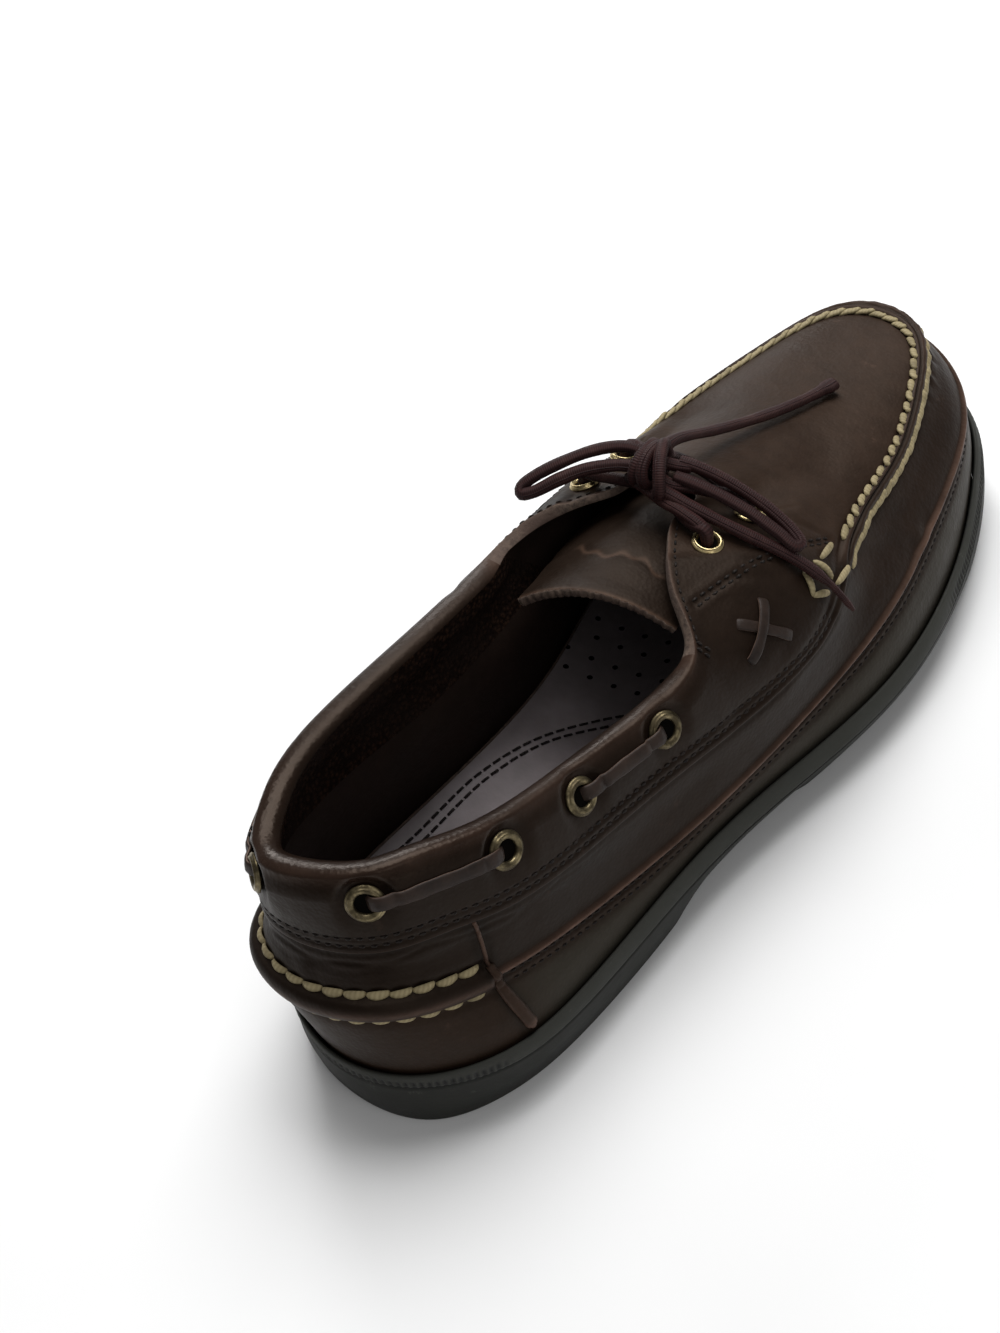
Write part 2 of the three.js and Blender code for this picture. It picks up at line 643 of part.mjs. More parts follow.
// Lace from one bore over the throat to the bore on the other side, resting on the flanges.
function barGeometry(place, rise) {
  const ends = [place, mirrored(place)].map(({ u, v }) => {
    const base = surface(u, v);
    const normal = outward(u, v);
    const inwards = new THREE.Vector3(surface(STATIONS.length - u, v).x - base.x, 0, 0).normalize();
    const at = (along, lift) => base.clone().addScaledVector(normal, lift).addScaledVector(inwards, along);
    return [at(0, -2.4), at(0.1, 1.2), at(1.3, 4.3), at(5.5, 4.7)];
  });
  const [left, right] = ends;
  const middle = left[3].clone().lerp(right[3], 0.5).add(new THREE.Vector3(0, 0, rise));
  const points = [...left, middle, ...right.reverse()].map((p) => p.toArray());
  return cordGeometry(points, LACE_RADIUS, 28);
}

// ---------------------------------------------------------------- assembly

const finishes = {
  leather: () => new THREE.MeshStandardMaterial({ color: 0x33261f, roughness: 0.55 }),
  rubber: () => new THREE.MeshStandardMaterial({ color: 0x33362f, roughness: 0.8 }),
  insole: () => new THREE.MeshStandardMaterial({ color: 0x3a3236, roughness: 0.7 }),
  antiqueBrass: () => new THREE.MeshStandardMaterial({ color: 0x7d7256, roughness: 0.45, metalness: 1 }),
  brass: () => new THREE.MeshStandardMaterial({ color: 0xb5a878, roughness: 0.3, metalness: 1 }),
  rawhide: () => new THREE.MeshStandardMaterial({ color: 0x4a372c, roughness: 0.6 }),
  lace: () => new THREE.MeshStandardMaterial({ color: 0x3d2224, roughness: 0.75 }),
};

const shoe = new THREE.Group();

function addPiece(name, geometry, finish) {
  const mesh = new THREE.Mesh(geometry, finishes[finish]());
  mesh.name = name;
  mesh.position.copy(CENTRE).negate();
  shoe.add(mesh);
}

// The same place on the other side of the shoe.
const mirrored = ({ u, v }) => ({ u: STATIONS.length - u, v });
const SIDES = [
  { side: "outer", at: (place) => place },
  { side: "inner", at: mirrored },
];

let upper = upperShell();
SIDES.forEach(({ side, at }) => {
  COLLAR_EYELETS.forEach((place, i) => {
    const spot = at(place);
    upper = upper.subtract(holeSolid(spot, COLLAR_EYELET, POCKET_DEPTH));
    addPiece(`collar_eyelet_${side}_${i + 1}`, eyeletAt(spot, COLLAR_EYELET, POCKET_DEPTH - GAP, false), "antiqueBrass");
  });
  LACE_EYELETS.forEach((place, i) => {
    const spot = at(place);
    upper = upper.subtract(holeSolid(spot, LACE_EYELET, 4 * LEATHER));
    addPiece(`lace_eyelet_${side}_${i + 1}`, eyeletAt(spot, LACE_EYELET, LEATHER, true), "brass");
  });
  addPiece(`collar_lacing_${side}_rear`, rawhideGeometry(at(COLLAR_EYELETS[0]), at(COLLAR_EYELETS[1])), "rawhide");
  addPiece(`collar_lacing_${side}_front`, rawhideGeometry(at(COLLAR_EYELETS[2]), at(COLLAR_EYELETS[3])), "rawhide");
});
addPiece("upper", geometryOf(upper), "leather");
addPiece("outsole", geometryOf(soleSolid()), "rubber");
addPiece("insole", insoleSolid(), "insole");
addPiece("tongue", tongueSolid(), "leather");

addPiece("lace_bar_rear", barGeometry(LACE_EYELETS[0], 0.6), "lace");
addPiece("lace_bar_front", barGeometry(LACE_EYELETS[1], 3), "lace");
const knot = plain(new THREE.SphereGeometry(1, 16, 10));
knot.scale(...KNOT.size).translate(...KNOT.centre);
addPiece("lace_knot", knot, "lace");
Object.entries(LACE_ROUTES).forEach(([name, points]) => {
  addPiece(name, cordGeometry(points, LACE_RADIUS, 3 * points.length), "lace");
});

export default shoe;
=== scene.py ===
# Boat shoe for the right foot: dark brown leather, moc seam in cream thread, rubber cup sole, tied lace.
# Sizes are in millimetres until a mesh is made. The tables and the surface are those of the shoe in model.glb,
# but for the lace's routes, which lie within a few millimetres of its cords.
import bpy
import math
import numpy as np
from mathutils import Vector, Matrix


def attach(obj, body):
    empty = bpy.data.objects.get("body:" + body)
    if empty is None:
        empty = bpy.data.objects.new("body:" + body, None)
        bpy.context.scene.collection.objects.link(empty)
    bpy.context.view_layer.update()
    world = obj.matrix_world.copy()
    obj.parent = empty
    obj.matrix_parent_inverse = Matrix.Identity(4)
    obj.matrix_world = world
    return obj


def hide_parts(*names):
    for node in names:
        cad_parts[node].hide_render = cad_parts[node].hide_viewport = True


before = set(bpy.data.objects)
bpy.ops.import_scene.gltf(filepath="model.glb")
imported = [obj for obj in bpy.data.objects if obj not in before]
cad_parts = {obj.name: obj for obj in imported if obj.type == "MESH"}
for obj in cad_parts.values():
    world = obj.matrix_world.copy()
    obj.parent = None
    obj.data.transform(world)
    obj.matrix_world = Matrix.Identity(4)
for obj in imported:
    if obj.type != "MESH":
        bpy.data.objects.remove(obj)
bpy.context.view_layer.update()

# ---- sizes

MM = 0.001
CENTRE = np.array([2.301, 0.531, 0.0])      # the shoe in model.glb is moved by this much

GAP = 0.35                                  # left between parts that touch
LEATHER, COLLAR_WALL = 2.2, 6.0             # thickness of the upper's wall, and of the padded collar
COLLAR_CROWN, COLLAR_FRONT = 1.6, 5.1       # height of its rounded rim, and the station where it ends
FOOT_INSET = 1.2
SWELL_PLACE = 0.5
HEEL_FLOOR, FORE_FLOOR, FLOOR_FROM, FLOOR_TO = 13.0, 9.0, -60.0, 25.0
HEEL_BREAST, FORE_BACK, FORE_FRONT, TOE_TIP = -58.0, 4.0, 88.0, 147.0
ARCH_RISE, ARCH_SLOPE, TOE_SPRING = 3.5, 14.0, 8.0
LIP_BAND, LIP_THICK = 5.0, 1.6
INSOLE_THICK, INSOLE_GAP, INSOLE_RISE = 5.0, 0.6, 3.6
TONGUE_THICK = 2.6
LACE_RADIUS = 1.6

# Heights below are millimetres up the leather from the ring they belong to.
ROLL_HALF, ROLL_HEIGHT = 2.9, 1.5           # rolled moc seam: half its width, and how far it stands out
ROLL_OUTER, ROLL_INNER = 0.9, 2.8           # its groove above the seam's ring on either side of the shoe
MOC_ROWS = 3.1                              # its rows of cream thread, this far from its groove
HEEL_ROLL_HALF, HEEL_ROLL_HEIGHT = 3.2, 2.3
HEEL_ROW = 4.3                              # groove above the heel's roll
COLLAR_ROWS, LAP_ROWS = (2.4, 4.9), (-1.9, -4.0)              # rows of dark thread

# Stations and levels of what lies on the upper; each line is mirrored to the inner side.
MOC_BACK, HEEL_FRONT = 6.55, 2.5            # where the moc seam begins, and where the heel's roll ends
TAB = [(2.27, 2.98), (2.52, 1.99), (2.58, 1.01)]              # seam down the side of the heel
EYESTAY_LINE = [(5.89, 4.81), (6.43, 4.18), (6.79, 3.62), (6.92, 3.27)]
EYESTAY_EDGE = [(7.71, 4.21), (7.13, 3.69), (6.92, 3.27)]
TACK_TOP = [(6.09, 3.97), (5.47, 3.87)]
TACK_UNDER = [(5.77, 4.25), (5.83, 3.50)]

# The leather's colour is made darker or lighter by these: painted light on the plug, which faces up,
# painted shade on the wall below the moc seam, and on the quarter its own darker tone with painted shade,
# darkest at the heel. The last two set the leather below the ridge and the side tabs.
QUARTER_TONE_AND_SHADE, WALL_PAINTED_SHADE, PLUG_PAINTED_LIGHT, LOWER_LIGHT, TAB_LIGHT = (0.46, 0.64), 0.85, 1.35, 0.95, 0.8

# lip, ridge, seam, swell, mouth, tread, rim and corner of each station, from the back of the heel along
# the outer side to the tip of the toe, which is the twelfth, and back along the inner side
STATIONS = [
    ((0.5, -144.5, 23.5), (-1.5, -146, 47), (-1, -139.5, 61.5), (0, -1, 0), (-2, -135, 83), (0.5, -143.5), 1.5, 0),
    ((21, -140, 23), (19, -139.5, 48.5), (17.5, -132.5, 63), (0.5, -1, 0), (13.5, -127.5, 84.5), (22.5, -139), 1.5, 0),
    ((35.5, -124.5, 22), (29, -124, 44), (27, -117.5, 61), (1, -0.5, 0), (21.5, -114.5, 83), (35, -122), 2, 0),
    ((41.5, -100, 20.5), (35, -100.5, 37.5), (34.5, -95.5, 56), (1, 0, 0), (27.5, -93.5, 77), (40.5, -98.5), 2.5, 0),
    ((42.5, -61.5, 20), (39, -62.5, 29.5), (38, -59.5, 50.5), (1, 0, 0), (30.5, -58, 69), (42, -62.5), 3, 0),
    ((45, -24.5, 19), (44, -25.5, 28.5), (43.5, -23.5, 47.5), (1.5, 0, 0), (34.5, -27, 69.5), (42, -30), 3.5, 0),
    ((52, 16, 18), (48, 15.5, 30.5), (48, 16, 49), (1.5, 0, 4), (21, -12.5, 76), (47.5, 9), 3.5, 0.4),
    ((53.5, 50.5, 18), (48.5, 49.5, 33.5), (37.5, 47, 54.5), (1, 0, 4.5), (10.5, 0.5, 78.5), (51.5, 45.5), 3.5, 1),
    ((47.5, 83.5, 19.5), (42.5, 83, 36.5), (31.5, 78.5, 53.5), (1, 0, 0), (6, 10, 78.5), (48, 82.5), 3.5, 1),
    ((36.5, 112.5, 22.5), (34, 111.5, 38.5), (22.5, 107, 54.5), (0.5, 0, -3.5), (6.5, 18, 78), (39, 113.5), 3.5, 1),
    ((21, 135, 26), (18.5, 132.5, 40.5), (10, 129, 56), (0, 0, -5), (3, 24, 77), (22, 136.5), 3.5, 1),
    ((-4, 144, 28), (-4.5, 142, 42), (-7.5, 136.5, 55), (0, 0, -5.5), (-4, 26, 77), (-4.5, 146.5), 3.5, 1),
    ((-26.5, 136.5, 26.5), (-25, 135, 39), (-21.5, 130.5, 53.5), (0, 0, -5), (-11, 24, 77), (-29, 139.5), 3.5, 1),
    ((-42.5, 115, 23), (-40, 114.5, 35.5), (-31, 112, 51), (-0.5, 0, -3), (-14, 18, 78), (-45, 117), 3.5, 1),
    ((-49, 84.5, 20), (-45, 84.5, 33), (-35.5, 84, 53.5), (-0.5, 0, -1), (-14.5, 10.5, 80), (-51, 85), 3.5, 1),
    ((-47.5, 51, 19), (-43, 51, 33), (-34, 52.5, 59.5), (-1.5, 0, 2), (-20, 2, 80.5), (-49.5, 50), 3.5, 1),
    ((-40.5, 16.5, 19.5), (-36, 17, 34), (-33, 18.5, 57), (-3, 0, 1.5), (-27.5, -11, 79), (-41, 15), 3.5, 0.4),
    ((-32.5, -19, 20), (-28.5, -19, 35), (-26.5, -18.5, 55), (-2, 0, 0), (-30, -28.5, 77.5), (-32, -20), 3.5, 0),
    ((-32, -58, 20.5), (-28.5, -58.5, 38), (-25.5, -59, 55), (-1, 0, 0), (-28.5, -59, 81), (-31.5, -58), 3, 0),
    ((-35, -97.5, 21.5), (-31.5, -98.5, 41), (-29, -98, 57), (-1, 0, 0), (-30, -99, 81.5), (-34, -97.5), 2.5, 0),
    ((-31.5, -121, 22.5), (-30, -123, 44), (-26.5, -120.5, 59), (-1, -0.5, 0), (-24.5, -121.5, 81),
     (-31.5, -121.5), 2, 0),
    ((-19.5, -136, 23.5), (-21.5, -140, 46), (-18.5, -135.5, 60), (-0.5, -1, 0), (-15.5, -134, 81),
     (-20.5, -137), 1.5, 0),
]

COLLAR_EYELETS = [(0.97, 4.35), (2.87, 4.35), (3.64, 4.35), (4.47, 4.42)]
LACE_EYELETS = [(6.9, 4.6), (7.45, 4.25)]
EYELET_FLAT = 8.2                           # the leather lies flat this far round a collar eyelet

# outer, inner, middle, half, crown, drop
TONGUE_ROWS = [
    (-16, -27, 1, 22, 76.5, 8.5),
    (-10, -18, 0, 21.5, 76.3, 8.5),
    (-2, -8, -1.5, 20.5, 76, 8),
    (8, 4, -3, 19, 75.2, 7),
    (18, 16, -3.5, 17, 73.6, 6),
    (27, 27, -4, 15, 71, 5),
]

KNOT_CENTRE = np.array([-4, 17, 87.5])
LACE_ROUTES = {
    "lace_loop_inner": [
        [-9.5, 19.5, 88.6], [-13.6, 18.6, 89], [-17.5, 16.6, 89], [-22.5, 12.4, 88.5], [-28.5, 6, 86.8],
        [-33.5, 0.8, 84.2], [-35.8, -2.2, 82], [-34.8, -3.6, 81.2], [-31.6, -2.2, 82], [-26.2, 3, 84.6],
        [-20.5, 8.2, 86.4], [-13.4, 12.6, 87.3], [-9.4, 14.2, 87.4],
    ],
    "lace_loop_outer": [
        [1, 21.6, 87.2], [5, 22.6, 86.4], [11, 24.2, 84], [18, 25.6, 80.4], [25.5, 26.4, 76], [32.5, 25.8, 71.8],
        [35.6, 24.2, 70.4], [35.2, 22.3, 70.8], [30.5, 21.8, 74], [22.5, 21, 78.6], [14, 19.4, 82.8],
        [6.3, 17.6, 85.6], [2.4, 16.8, 86.4],
    ],
    "lace_end_plug": [
        [-5.2, 22, 88.6], [-5.5, 27, 87.5], [-5.7, 33, 84.5], [-5.5, 42, 79], [-5, 52, 73.5], [-3.5, 63, 68.5],
        [-1, 74, 65], [1.5, 84, 62.8], [3.5, 92.5, 61.7],
    ],
    "lace_end_side": [
        [1.4, 11.4, 85.6], [4.6, 11.8, 84.6], [9.5, 12.4, 82.6], [17, 14, 79.2], [25, 16.4, 75], [33, 19.6, 70],
        [39.5, 21.6, 65.4], [45.4, 22.8, 60.6], [51.4, 23.6, 53.2],
    ],
}

# ---- camera

CAMERA_AT = np.array([271.4, -306.3, 461.1])
CAMERA_FORWARD = Vector((-0.51387, 0.46996, -0.71769))
CAMERA_RIGHT = Vector((0.78091, 0.60258, -0.16455))
LENS, SENSOR = 56.97, 36.0


def row(points):
    """Points of the tables, in metres in the row's frame."""
    return (np.asarray(points, float) - CENTRE) * MM


camera = bpy.data.objects.new("camera", bpy.data.cameras.new("camera"))
bpy.context.scene.collection.objects.link(camera)
back = -CAMERA_FORWARD.normalized()
right = (CAMERA_RIGHT - back * CAMERA_RIGHT.dot(back)).normalized()
turn = Matrix((right, back.cross(right), back)).transposed()
camera.matrix_world = Matrix.Translation(Vector(row(CAMERA_AT))) @ turn.to_4x4()
camera.data.sensor_fit = "VERTICAL"
camera.data.sensor_height = SENSOR
camera.data.lens = LENS
camera.data.clip_start = 0.01
bpy.context.scene.camera = camera

# ---- splines and surfaces

norm = np.linalg.norm

def slopes(points):
    chord = np.roll(points, -1, 0) - np.roll(points, 1, 0)
    found = chord / 2
    for _ in range(40):
        found = (3 * chord - np.roll(found, 1, 0) - np.roll(found, -1, 0)) / 4
    return found


def hermite(p, m, q, k, t):
    return (2*t**3 - 3*t**2 + 1) * p + (t**3 - 2*t**2 + t) * m + (3*t**2 - 2*t**3) * q + (t**3 - t**2) * k


class Ring:
    """Closed smooth curve through points, read at a station u."""
    def __init__(self, points):
        self.points = np.array(points, float)
        self.slopes = slopes(self.points)

    def __call__(self, u):
        u = np.asarray(u, float) % len(self.points)
        i = np.floor(u).astype(int) % len(self.points)
        j = (i + 1) % len(self.points)
        t = (u - np.floor(u))[..., None]
        return hermite(self.points[i], self.slopes[i], self.points[j], self.slopes[j], t)


def smooth(x):
    x = np.clip(x, 0, 1)
    return x * x * (3 - 2 * x)


def mix(a, b, t):
    return a + (b - a) * t


def bell(x, width):
    return np.exp(-(x / width) ** 2)


def dome(x, half):
    return np.sqrt(np.clip(1 - (x / half) ** 2, 0, 1))


def toe_spring(y):
    return TOE_SPRING * np.maximum(0, (y - FORE_FRONT) / (TOE_TIP - FORE_FRONT))**2


def floor_height(y):
    return mix(HEEL_FLOOR, FORE_FLOOR, smooth((y - FLOOR_FROM) / (FLOOR_TO - FLOOR_FROM))) + toe_spring(y)


def underside(y):
    arch = smooth((y - HEEL_BREAST) / ARCH_SLOPE) * smooth((FORE_BACK - y) / ARCH_SLOPE)
    return ARCH_RISE * arch + toe_spring(y)


def run_along(points):
    """Distance run at each of a line of points."""
    return np.concatenate([[0], np.cumsum(norm(np.diff(points, axis=0), axis=1))])

def plan_normals(points):
    along = np.roll(points, -1, 0) - np.roll(points, 1, 0)
    out = np.stack([along[:, 1], -along[:, 0], 0 * along[:, 0]], -1)
    return out / norm(out, axis=1, keepdims=True)


def offset_ring(points, distance):
    return points + plan_normals(points) * np.reshape(distance, (-1, 1))


lip, ridge, seam, swell, mouth, tread, rims, corners = (np.array(part, float) for part in zip(*STATIONS))
foot = offset_ring(lip, -FOOT_INSET)
foot[:, 2] = floor_height(foot[:, 1]) + GAP
RINGS = [Ring(r) for r in (foot, lip, ridge, seam, mix(seam, mouth, SWELL_PLACE) + swell, mouth)]
CORNERS, RIMS = Ring(corners[:, None]), Ring(rims[:, None])
TREAD = Ring(np.column_stack([tread, 0 * rims]))
ROUND = len(STATIONS)


def column(u):
    knots = np.stack([ring(u) for ring in RINGS], -2)
    steps = np.diff(knots, axis=-2)
    lengths = norm(steps, axis=-1)
    flat = steps / lengths[..., None]
    below = np.empty(knots.shape)
    below[..., 0, :], below[..., 5, :] = flat[..., 0, :], flat[..., 4, :]
    for i in range(1, 5):
        a, b = lengths[..., i - 1, None], lengths[..., i, None]
        below[..., i, :] = (flat[..., i - 1, :] * b + flat[..., i, :] * a) / (a + b)
    above = below.copy()
    corner = np.clip(CORNERS(u), 0, 1)
    below[..., 3, :] = mix(below[..., 3, :], flat[..., 2, :], corner)
    above[..., 3, :] = mix(above[..., 3, :], flat[..., 3, :], corner)
    return knots, lengths, below, above


def surface(u, v):
    """The upper's plain outer surface at stations u and ring levels v."""
    u, v = np.broadcast_arrays(np.asarray(u, float), np.asarray(v, float))
    knots, lengths, below, above = column(u)
    i = np.clip(np.floor(v).astype(int), 0, 4)

    def at(values, level):
        return np.take_along_axis(values, level[..., None, None].repeat(3, -1), -2)[..., 0, :]
    h = np.take_along_axis(lengths, i[..., None], -1)
    return hermite(at(knots, i), at(above, i) * h, at(knots, i + 1), at(below, i + 1) * h, (v - i)[..., None])


def outward(u, v):
    """The surface's direction out."""
    u, v = np.asarray(u, float), np.asarray(v, float)
    step = 0.004
    along = surface(u + step, v) - surface(u - step, v)
    up = surface(u, np.minimum(v + step, 5)) - surface(u, np.maximum(v - step, 0))
    n = np.cross(along, up)
    return n / norm(n, axis=-1, keepdims=True)

def from_heel(u):
    u = np.asarray(u, float) % ROUND
    return np.minimum(u, ROUND - u)


def collar(u):
    return smooth((COLLAR_FRONT + 0.4 - from_heel(u)) / 0.8)


def wall(u, v):
    return mix(LEATHER, COLLAR_WALL, collar(u) * smooth((np.asarray(v, float) - 3.9) / 0.75))

def stations(count):
    """Places u of so many columns round the shoe."""
    return np.arange(count) * ROUND / count

def spans(u):
    """Lengths of the five steps of the column at u."""
    return column(np.asarray(u, float))[1]


def offsets(u, v):
    """Millimetres up the surface from the ridge, the seam and the mouth."""
    h = spans(u)
    v = np.asarray(v, float)
    from_ridge = (v - 2) * np.where(v < 2, h[..., 1], h[..., 2])
    from_seam = (v - 3) * np.where(v < 3, h[..., 2], h[..., 3])
    return from_ridge, from_seam, (v - 5) * h[..., 4]

def roll_middle(u):
    """Height of the moc seam's groove above the seam's ring."""
    return mix(ROLL_OUTER, ROLL_INNER, smooth((np.asarray(u, float) - 9.5) / 3))


def other_side(place):
    return ROUND - place[0], place[1]


def both_sides(line):
    return [line, [other_side(place) for place in line]]


def along_line(line, step=1.0):
    """u and v along a line of places, and the distance run, in steps of so many millimetres."""
    line = np.array(line, float)
    knots = np.linspace(0, len(line) - 1, 60 * len(line))
    u, v = (np.interp(knots, range(len(line)), line[:, k]) for k in (0, 1))
    run = run_along(surface(u, v))
    at = np.arange(0, run[-1] + 1e-6, run[-1] / max(1, round(run[-1] / step)))
    return np.interp(at, run, u), np.interp(at, run, v), at

def distance_to(line, points, reach=12.0):
    """Distance of surface points to a line of places on the outer or the inner side."""
    found = np.full(points.shape[:-1], 1e3)
    for side in both_sides(line):
        u, v, _ = along_line(side)
        track = surface(u, v)
        low, high = track.min(0) - reach, track.max(0) + reach
        near = np.all((points > low) & (points < high), axis=-1)
        if near.any():
            picked = points[near]
            d = norm(picked[:, None, :] - track[None, :, :], axis=-1).min(1)
            found[near] = np.minimum(found[near], d)
    return found


def eyelet_distance(place, points):
    """Distance of surface points to an eyelet's middle, on whichever side is nearer."""
    return np.min([norm(points - surface(*p), axis=-1) for p in (place, other_side(place))], axis=0)


RING_RUN_U = np.linspace(0, ROUND, 1761)
RUNS = {level: run_along(surface(RING_RUN_U, level)) for level in (1, 2, 3)}      # of the lip, ridge and seam

# Soft creases, each a line of places with its half width and its depth (troughs are negative).
CREASES = [
    ([(6.9, 2.9), (7.25, 2.5), (7.45, 2.2)], 4.5, -0.8),
    ([(7.35, 2.85), (7.6, 2.45), (7.75, 2.15)], 4.0, -0.6),
    ([(7.1, 2.9), (7.4, 2.5), (7.6, 2.2)], 3.0, 0.5),
    ([(5.1, 3.35), (5.5, 3.1), (6.1, 3.05)], 4.0, -0.7),
    ([(4.2, 3.6), (4.9, 3.5), (5.6, 3.4)], 4.0, -0.5),
    ([(3.0, 2.7), (3.8, 2.55), (4.6, 2.6)], 5.0, -0.6),
    ([(1.0, 2.62), (1.7, 2.55), (2.2, 2.6)], 3.0, -0.5),
    ([(0.2, 2.45), (0.9, 2.42), (1.5, 2.4)], 2.5, -0.4),
    ([(5.7, 2.7), (6.2, 2.5), (6.7, 2.45)], 5.0, -0.6),
    ([(8.3, 3.75), (8.8, 3.9), (9.2, 3.95)], 6.0, -0.7),
    ([(8.0, 4.3), (8.6, 4.4)], 5.0, -0.6),
]


def relief(u, v, base):
    """How far the leather stands off its plain surface, how worn it is, and how light its colour is, which holds
    painted light and shade.
    """
    u, v = np.broadcast_arrays(np.asarray(u, float), np.asarray(v, float))
    s_ridge, s_seam, s_mouth = offsets(u, v)
    place = from_heel(u)
    front = smooth((place - MOC_BACK) / 0.3)
    rear = 1 - front
    heel = smooth((HEEL_FRONT - place) / 0.06)
    run = np.interp(u % ROUND, RING_RUN_U, RUNS[3])

    # moc roll, its groove, the dents of its two rows of thread and the gathers round the toe
    s_roll = s_seam - roll_middle(u)
    roll = ROLL_HEIGHT * dome(s_roll, ROLL_HALF) - 1.0 * bell(s_roll, 0.5)
    roll = roll - 0.35 * bell(np.abs(s_roll) - MOC_ROWS - 0.4, 1.0)
    toe = smooth((place - 8.6) / 1.2)
    waves = 0.45 * np.cos(run * 2 * np.pi / 6.1) + 0.2 * np.cos(run * 2 * np.pi / 3.7 + 1)
    lift = front * (roll + toe * bell(s_seam + 3.4, 2.6) * waves)
    worn = front * (0.16 * bell(np.abs(s_roll) - 1.5, 0.8) + 0.2 * toe * bell(s_roll + 2, 2))
    # painted light and shade by panel: the plug lighter, the wall and the quarter darker
    quarter = mix(*QUARTER_TONE_AND_SHADE, smooth((place - 2.5) / 3))
    light = mix(quarter, mix(WALL_PAINTED_SHADE, PLUG_PAINTED_LIGHT, smooth((s_roll - MOC_ROWS) / 1.5)), front)
    # painted shade darkens the groove of the moc roll
    light = light * (1 - 0.85 * front * bell(s_roll, 0.55))

    # collar piece over the quarter: a proud stitched edge, with folds below it at the heel
    lift = lift + rear * smooth(s_seam / 0.7 + 0.5) * 1.1 - rear * 0.25 * bell(s_seam + 1.2, 0.8)
    for height in COLLAR_ROWS:
        lift = lift - rear * 0.45 * bell(s_seam - height, 0.7)
    wavy = 0.4 * np.sin(run / 7.3) + 0.5 * np.sin(run / 3.1 + 1)
    folds = 0.35 * bell(s_seam + 3.4 + wavy, 0.7) + 0.28 * bell(s_seam + 5.8 - wavy, 0.8)
    lift = lift - rear * smooth((4.6 - place) / 2) * folds
    worn = worn + rear * 0.12 * bell(s_seam - 0.3, 0.6)
    # painted shadow under the collar piece's proud edge
    light = light * (1 - 0.6 * rear * bell(s_seam + 0.8, 0.7))

    # heel's rolled ridge between its rows of cream thread, and a thin lapped seam in front of it
    heel_roll = HEEL_ROLL_HEIGHT * dome(s_ridge + 0.4, HEEL_ROLL_HALF)
    heel_roll = heel_roll - 0.8 * bell(s_ridge - HEEL_ROW, 1.3) - 0.5 * bell(s_ridge + 4.6, 1.2)
    lap = 1.15 * dome(s_ridge - 0.5, 1.5) + 0.75 * smooth(s_ridge + 0.3) * smooth((14 - s_ridge) / 12)
    for height, depth in zip(LAP_ROWS, (0.35, 0.3)):
        lap = lap - depth * bell(s_ridge - height, 0.7)
    at_ridge = smooth((v - 1.2) / 0.3) * smooth((2.75 - v) / 0.3)
    lift = lift + at_ridge * mix(lap, heel_roll, heel)
    worn = worn + at_ridge * mix(1.3 * bell(s_ridge - 0.5, 1.1), 0.5 * bell(s_ridge + 1.2, 1.1), heel)
    # painted shadow just below the lapped seam's ridge, in front of the heel
    light = light * (1 - 0.75 * at_ridge * (1 - heel) * bell(s_ridge + 1.6, 0.75))
    light = mix(light, LOWER_LIGHT, smooth((-1.5 - s_ridge) / 1.5))

    # shadowed leather beside the seam down the side
    beside = bell(distance_to(TAB, base) - 1.6, 1.2)
    light = light * (1 - 0.6 * beside * smooth((2.98 - v) / 0.05) * smooth((v - 1.0) / 0.1))

    # eyestay's stitch line and its front edge
    stay = distance_to(EYESTAY_LINE, base)
    lift = lift - 0.4 * bell(stay, 0.8) + 0.25 * bell(stay - 2.0, 1.2)
    lift = lift - 0.5 * bell(distance_to(EYESTAY_EDGE, base), 0.9)
    for line, half, depth in CREASES:
        lift = lift + depth * bell(distance_to(line, base, 16), half)

    # padded collar: full below its rim, drawn in at the eyelets' line and flat round the eyelets
    pad = collar(u)
    lift = lift + pad * (0.9 * bell(s_mouth + 5.5, 3.2) - 0.35 * bell(s_mouth + 12.5, 3.0))
    for eyelet_place in COLLAR_EYELETS:
        lift = mix(lift, -0.05, smooth((EYELET_FLAT - eyelet_distance(eyelet_place, base)) / 2.6))
    worn = worn + pad * 0.16 * smooth((s_mouth + 3.5) / 3.5)
    worn = worn + (1 - pad) * 0.5 * smooth((s_mouth + 1.2) / 1.2) * smooth((8.4 - place) / 0.5)
    return lift * smooth((v - 0.35) / 0.6), np.clip(worn, 0, 1), light


def skin(u, v):
    """Point of the finished leather, in millimetres."""
    base = surface(u, v)
    return base + outward(u, v) * relief(u, v, base)[0][..., None]


# ---- meshes


def mesh_piece(name, points, faces, material, slot, replaces=(), values=None, extra=()):
    """A piece made of points in millimetres. values are named numbers at its vertices."""
    mesh = bpy.data.meshes.new(name)
    faces = faces if isinstance(faces, list) else faces.tolist()
    mesh.from_pydata(row(np.reshape(points, (-1, 3))).tolist(), [], faces)
    for each in (material, *extra):
        mesh.materials.append(each)
    for key, numbers in (values or {}).items():
        numbers = np.ravel(numbers).astype(np.float32)
        mesh.attributes.new(key, "FLOAT", "POINT").data.foreach_set("value", numbers)
    mesh.shade_smooth()
    piece = bpy.data.objects.new(name, mesh)
    bpy.context.scene.collection.objects.link(piece)
    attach(piece, "root")
    if replaces:
        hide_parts(*replaces)
    return piece

def grid_faces(rows, columns, round_columns=False, round_rows=False, start=0):
    """Quads of a grid whose columns run first and whose rows run second."""
    i = np.arange(rows if round_rows else rows - 1)
    j = np.arange(columns if round_columns else columns - 1)
    i, j = [a.ravel() for a in np.meshgrid(i, j, indexing="ij")]
    i2, j2 = (i + 1) % rows, (j + 1) % columns
    return start + np.stack([i * columns + j, i * columns + j2, i2 * columns + j2, i2 * columns + j], -1)


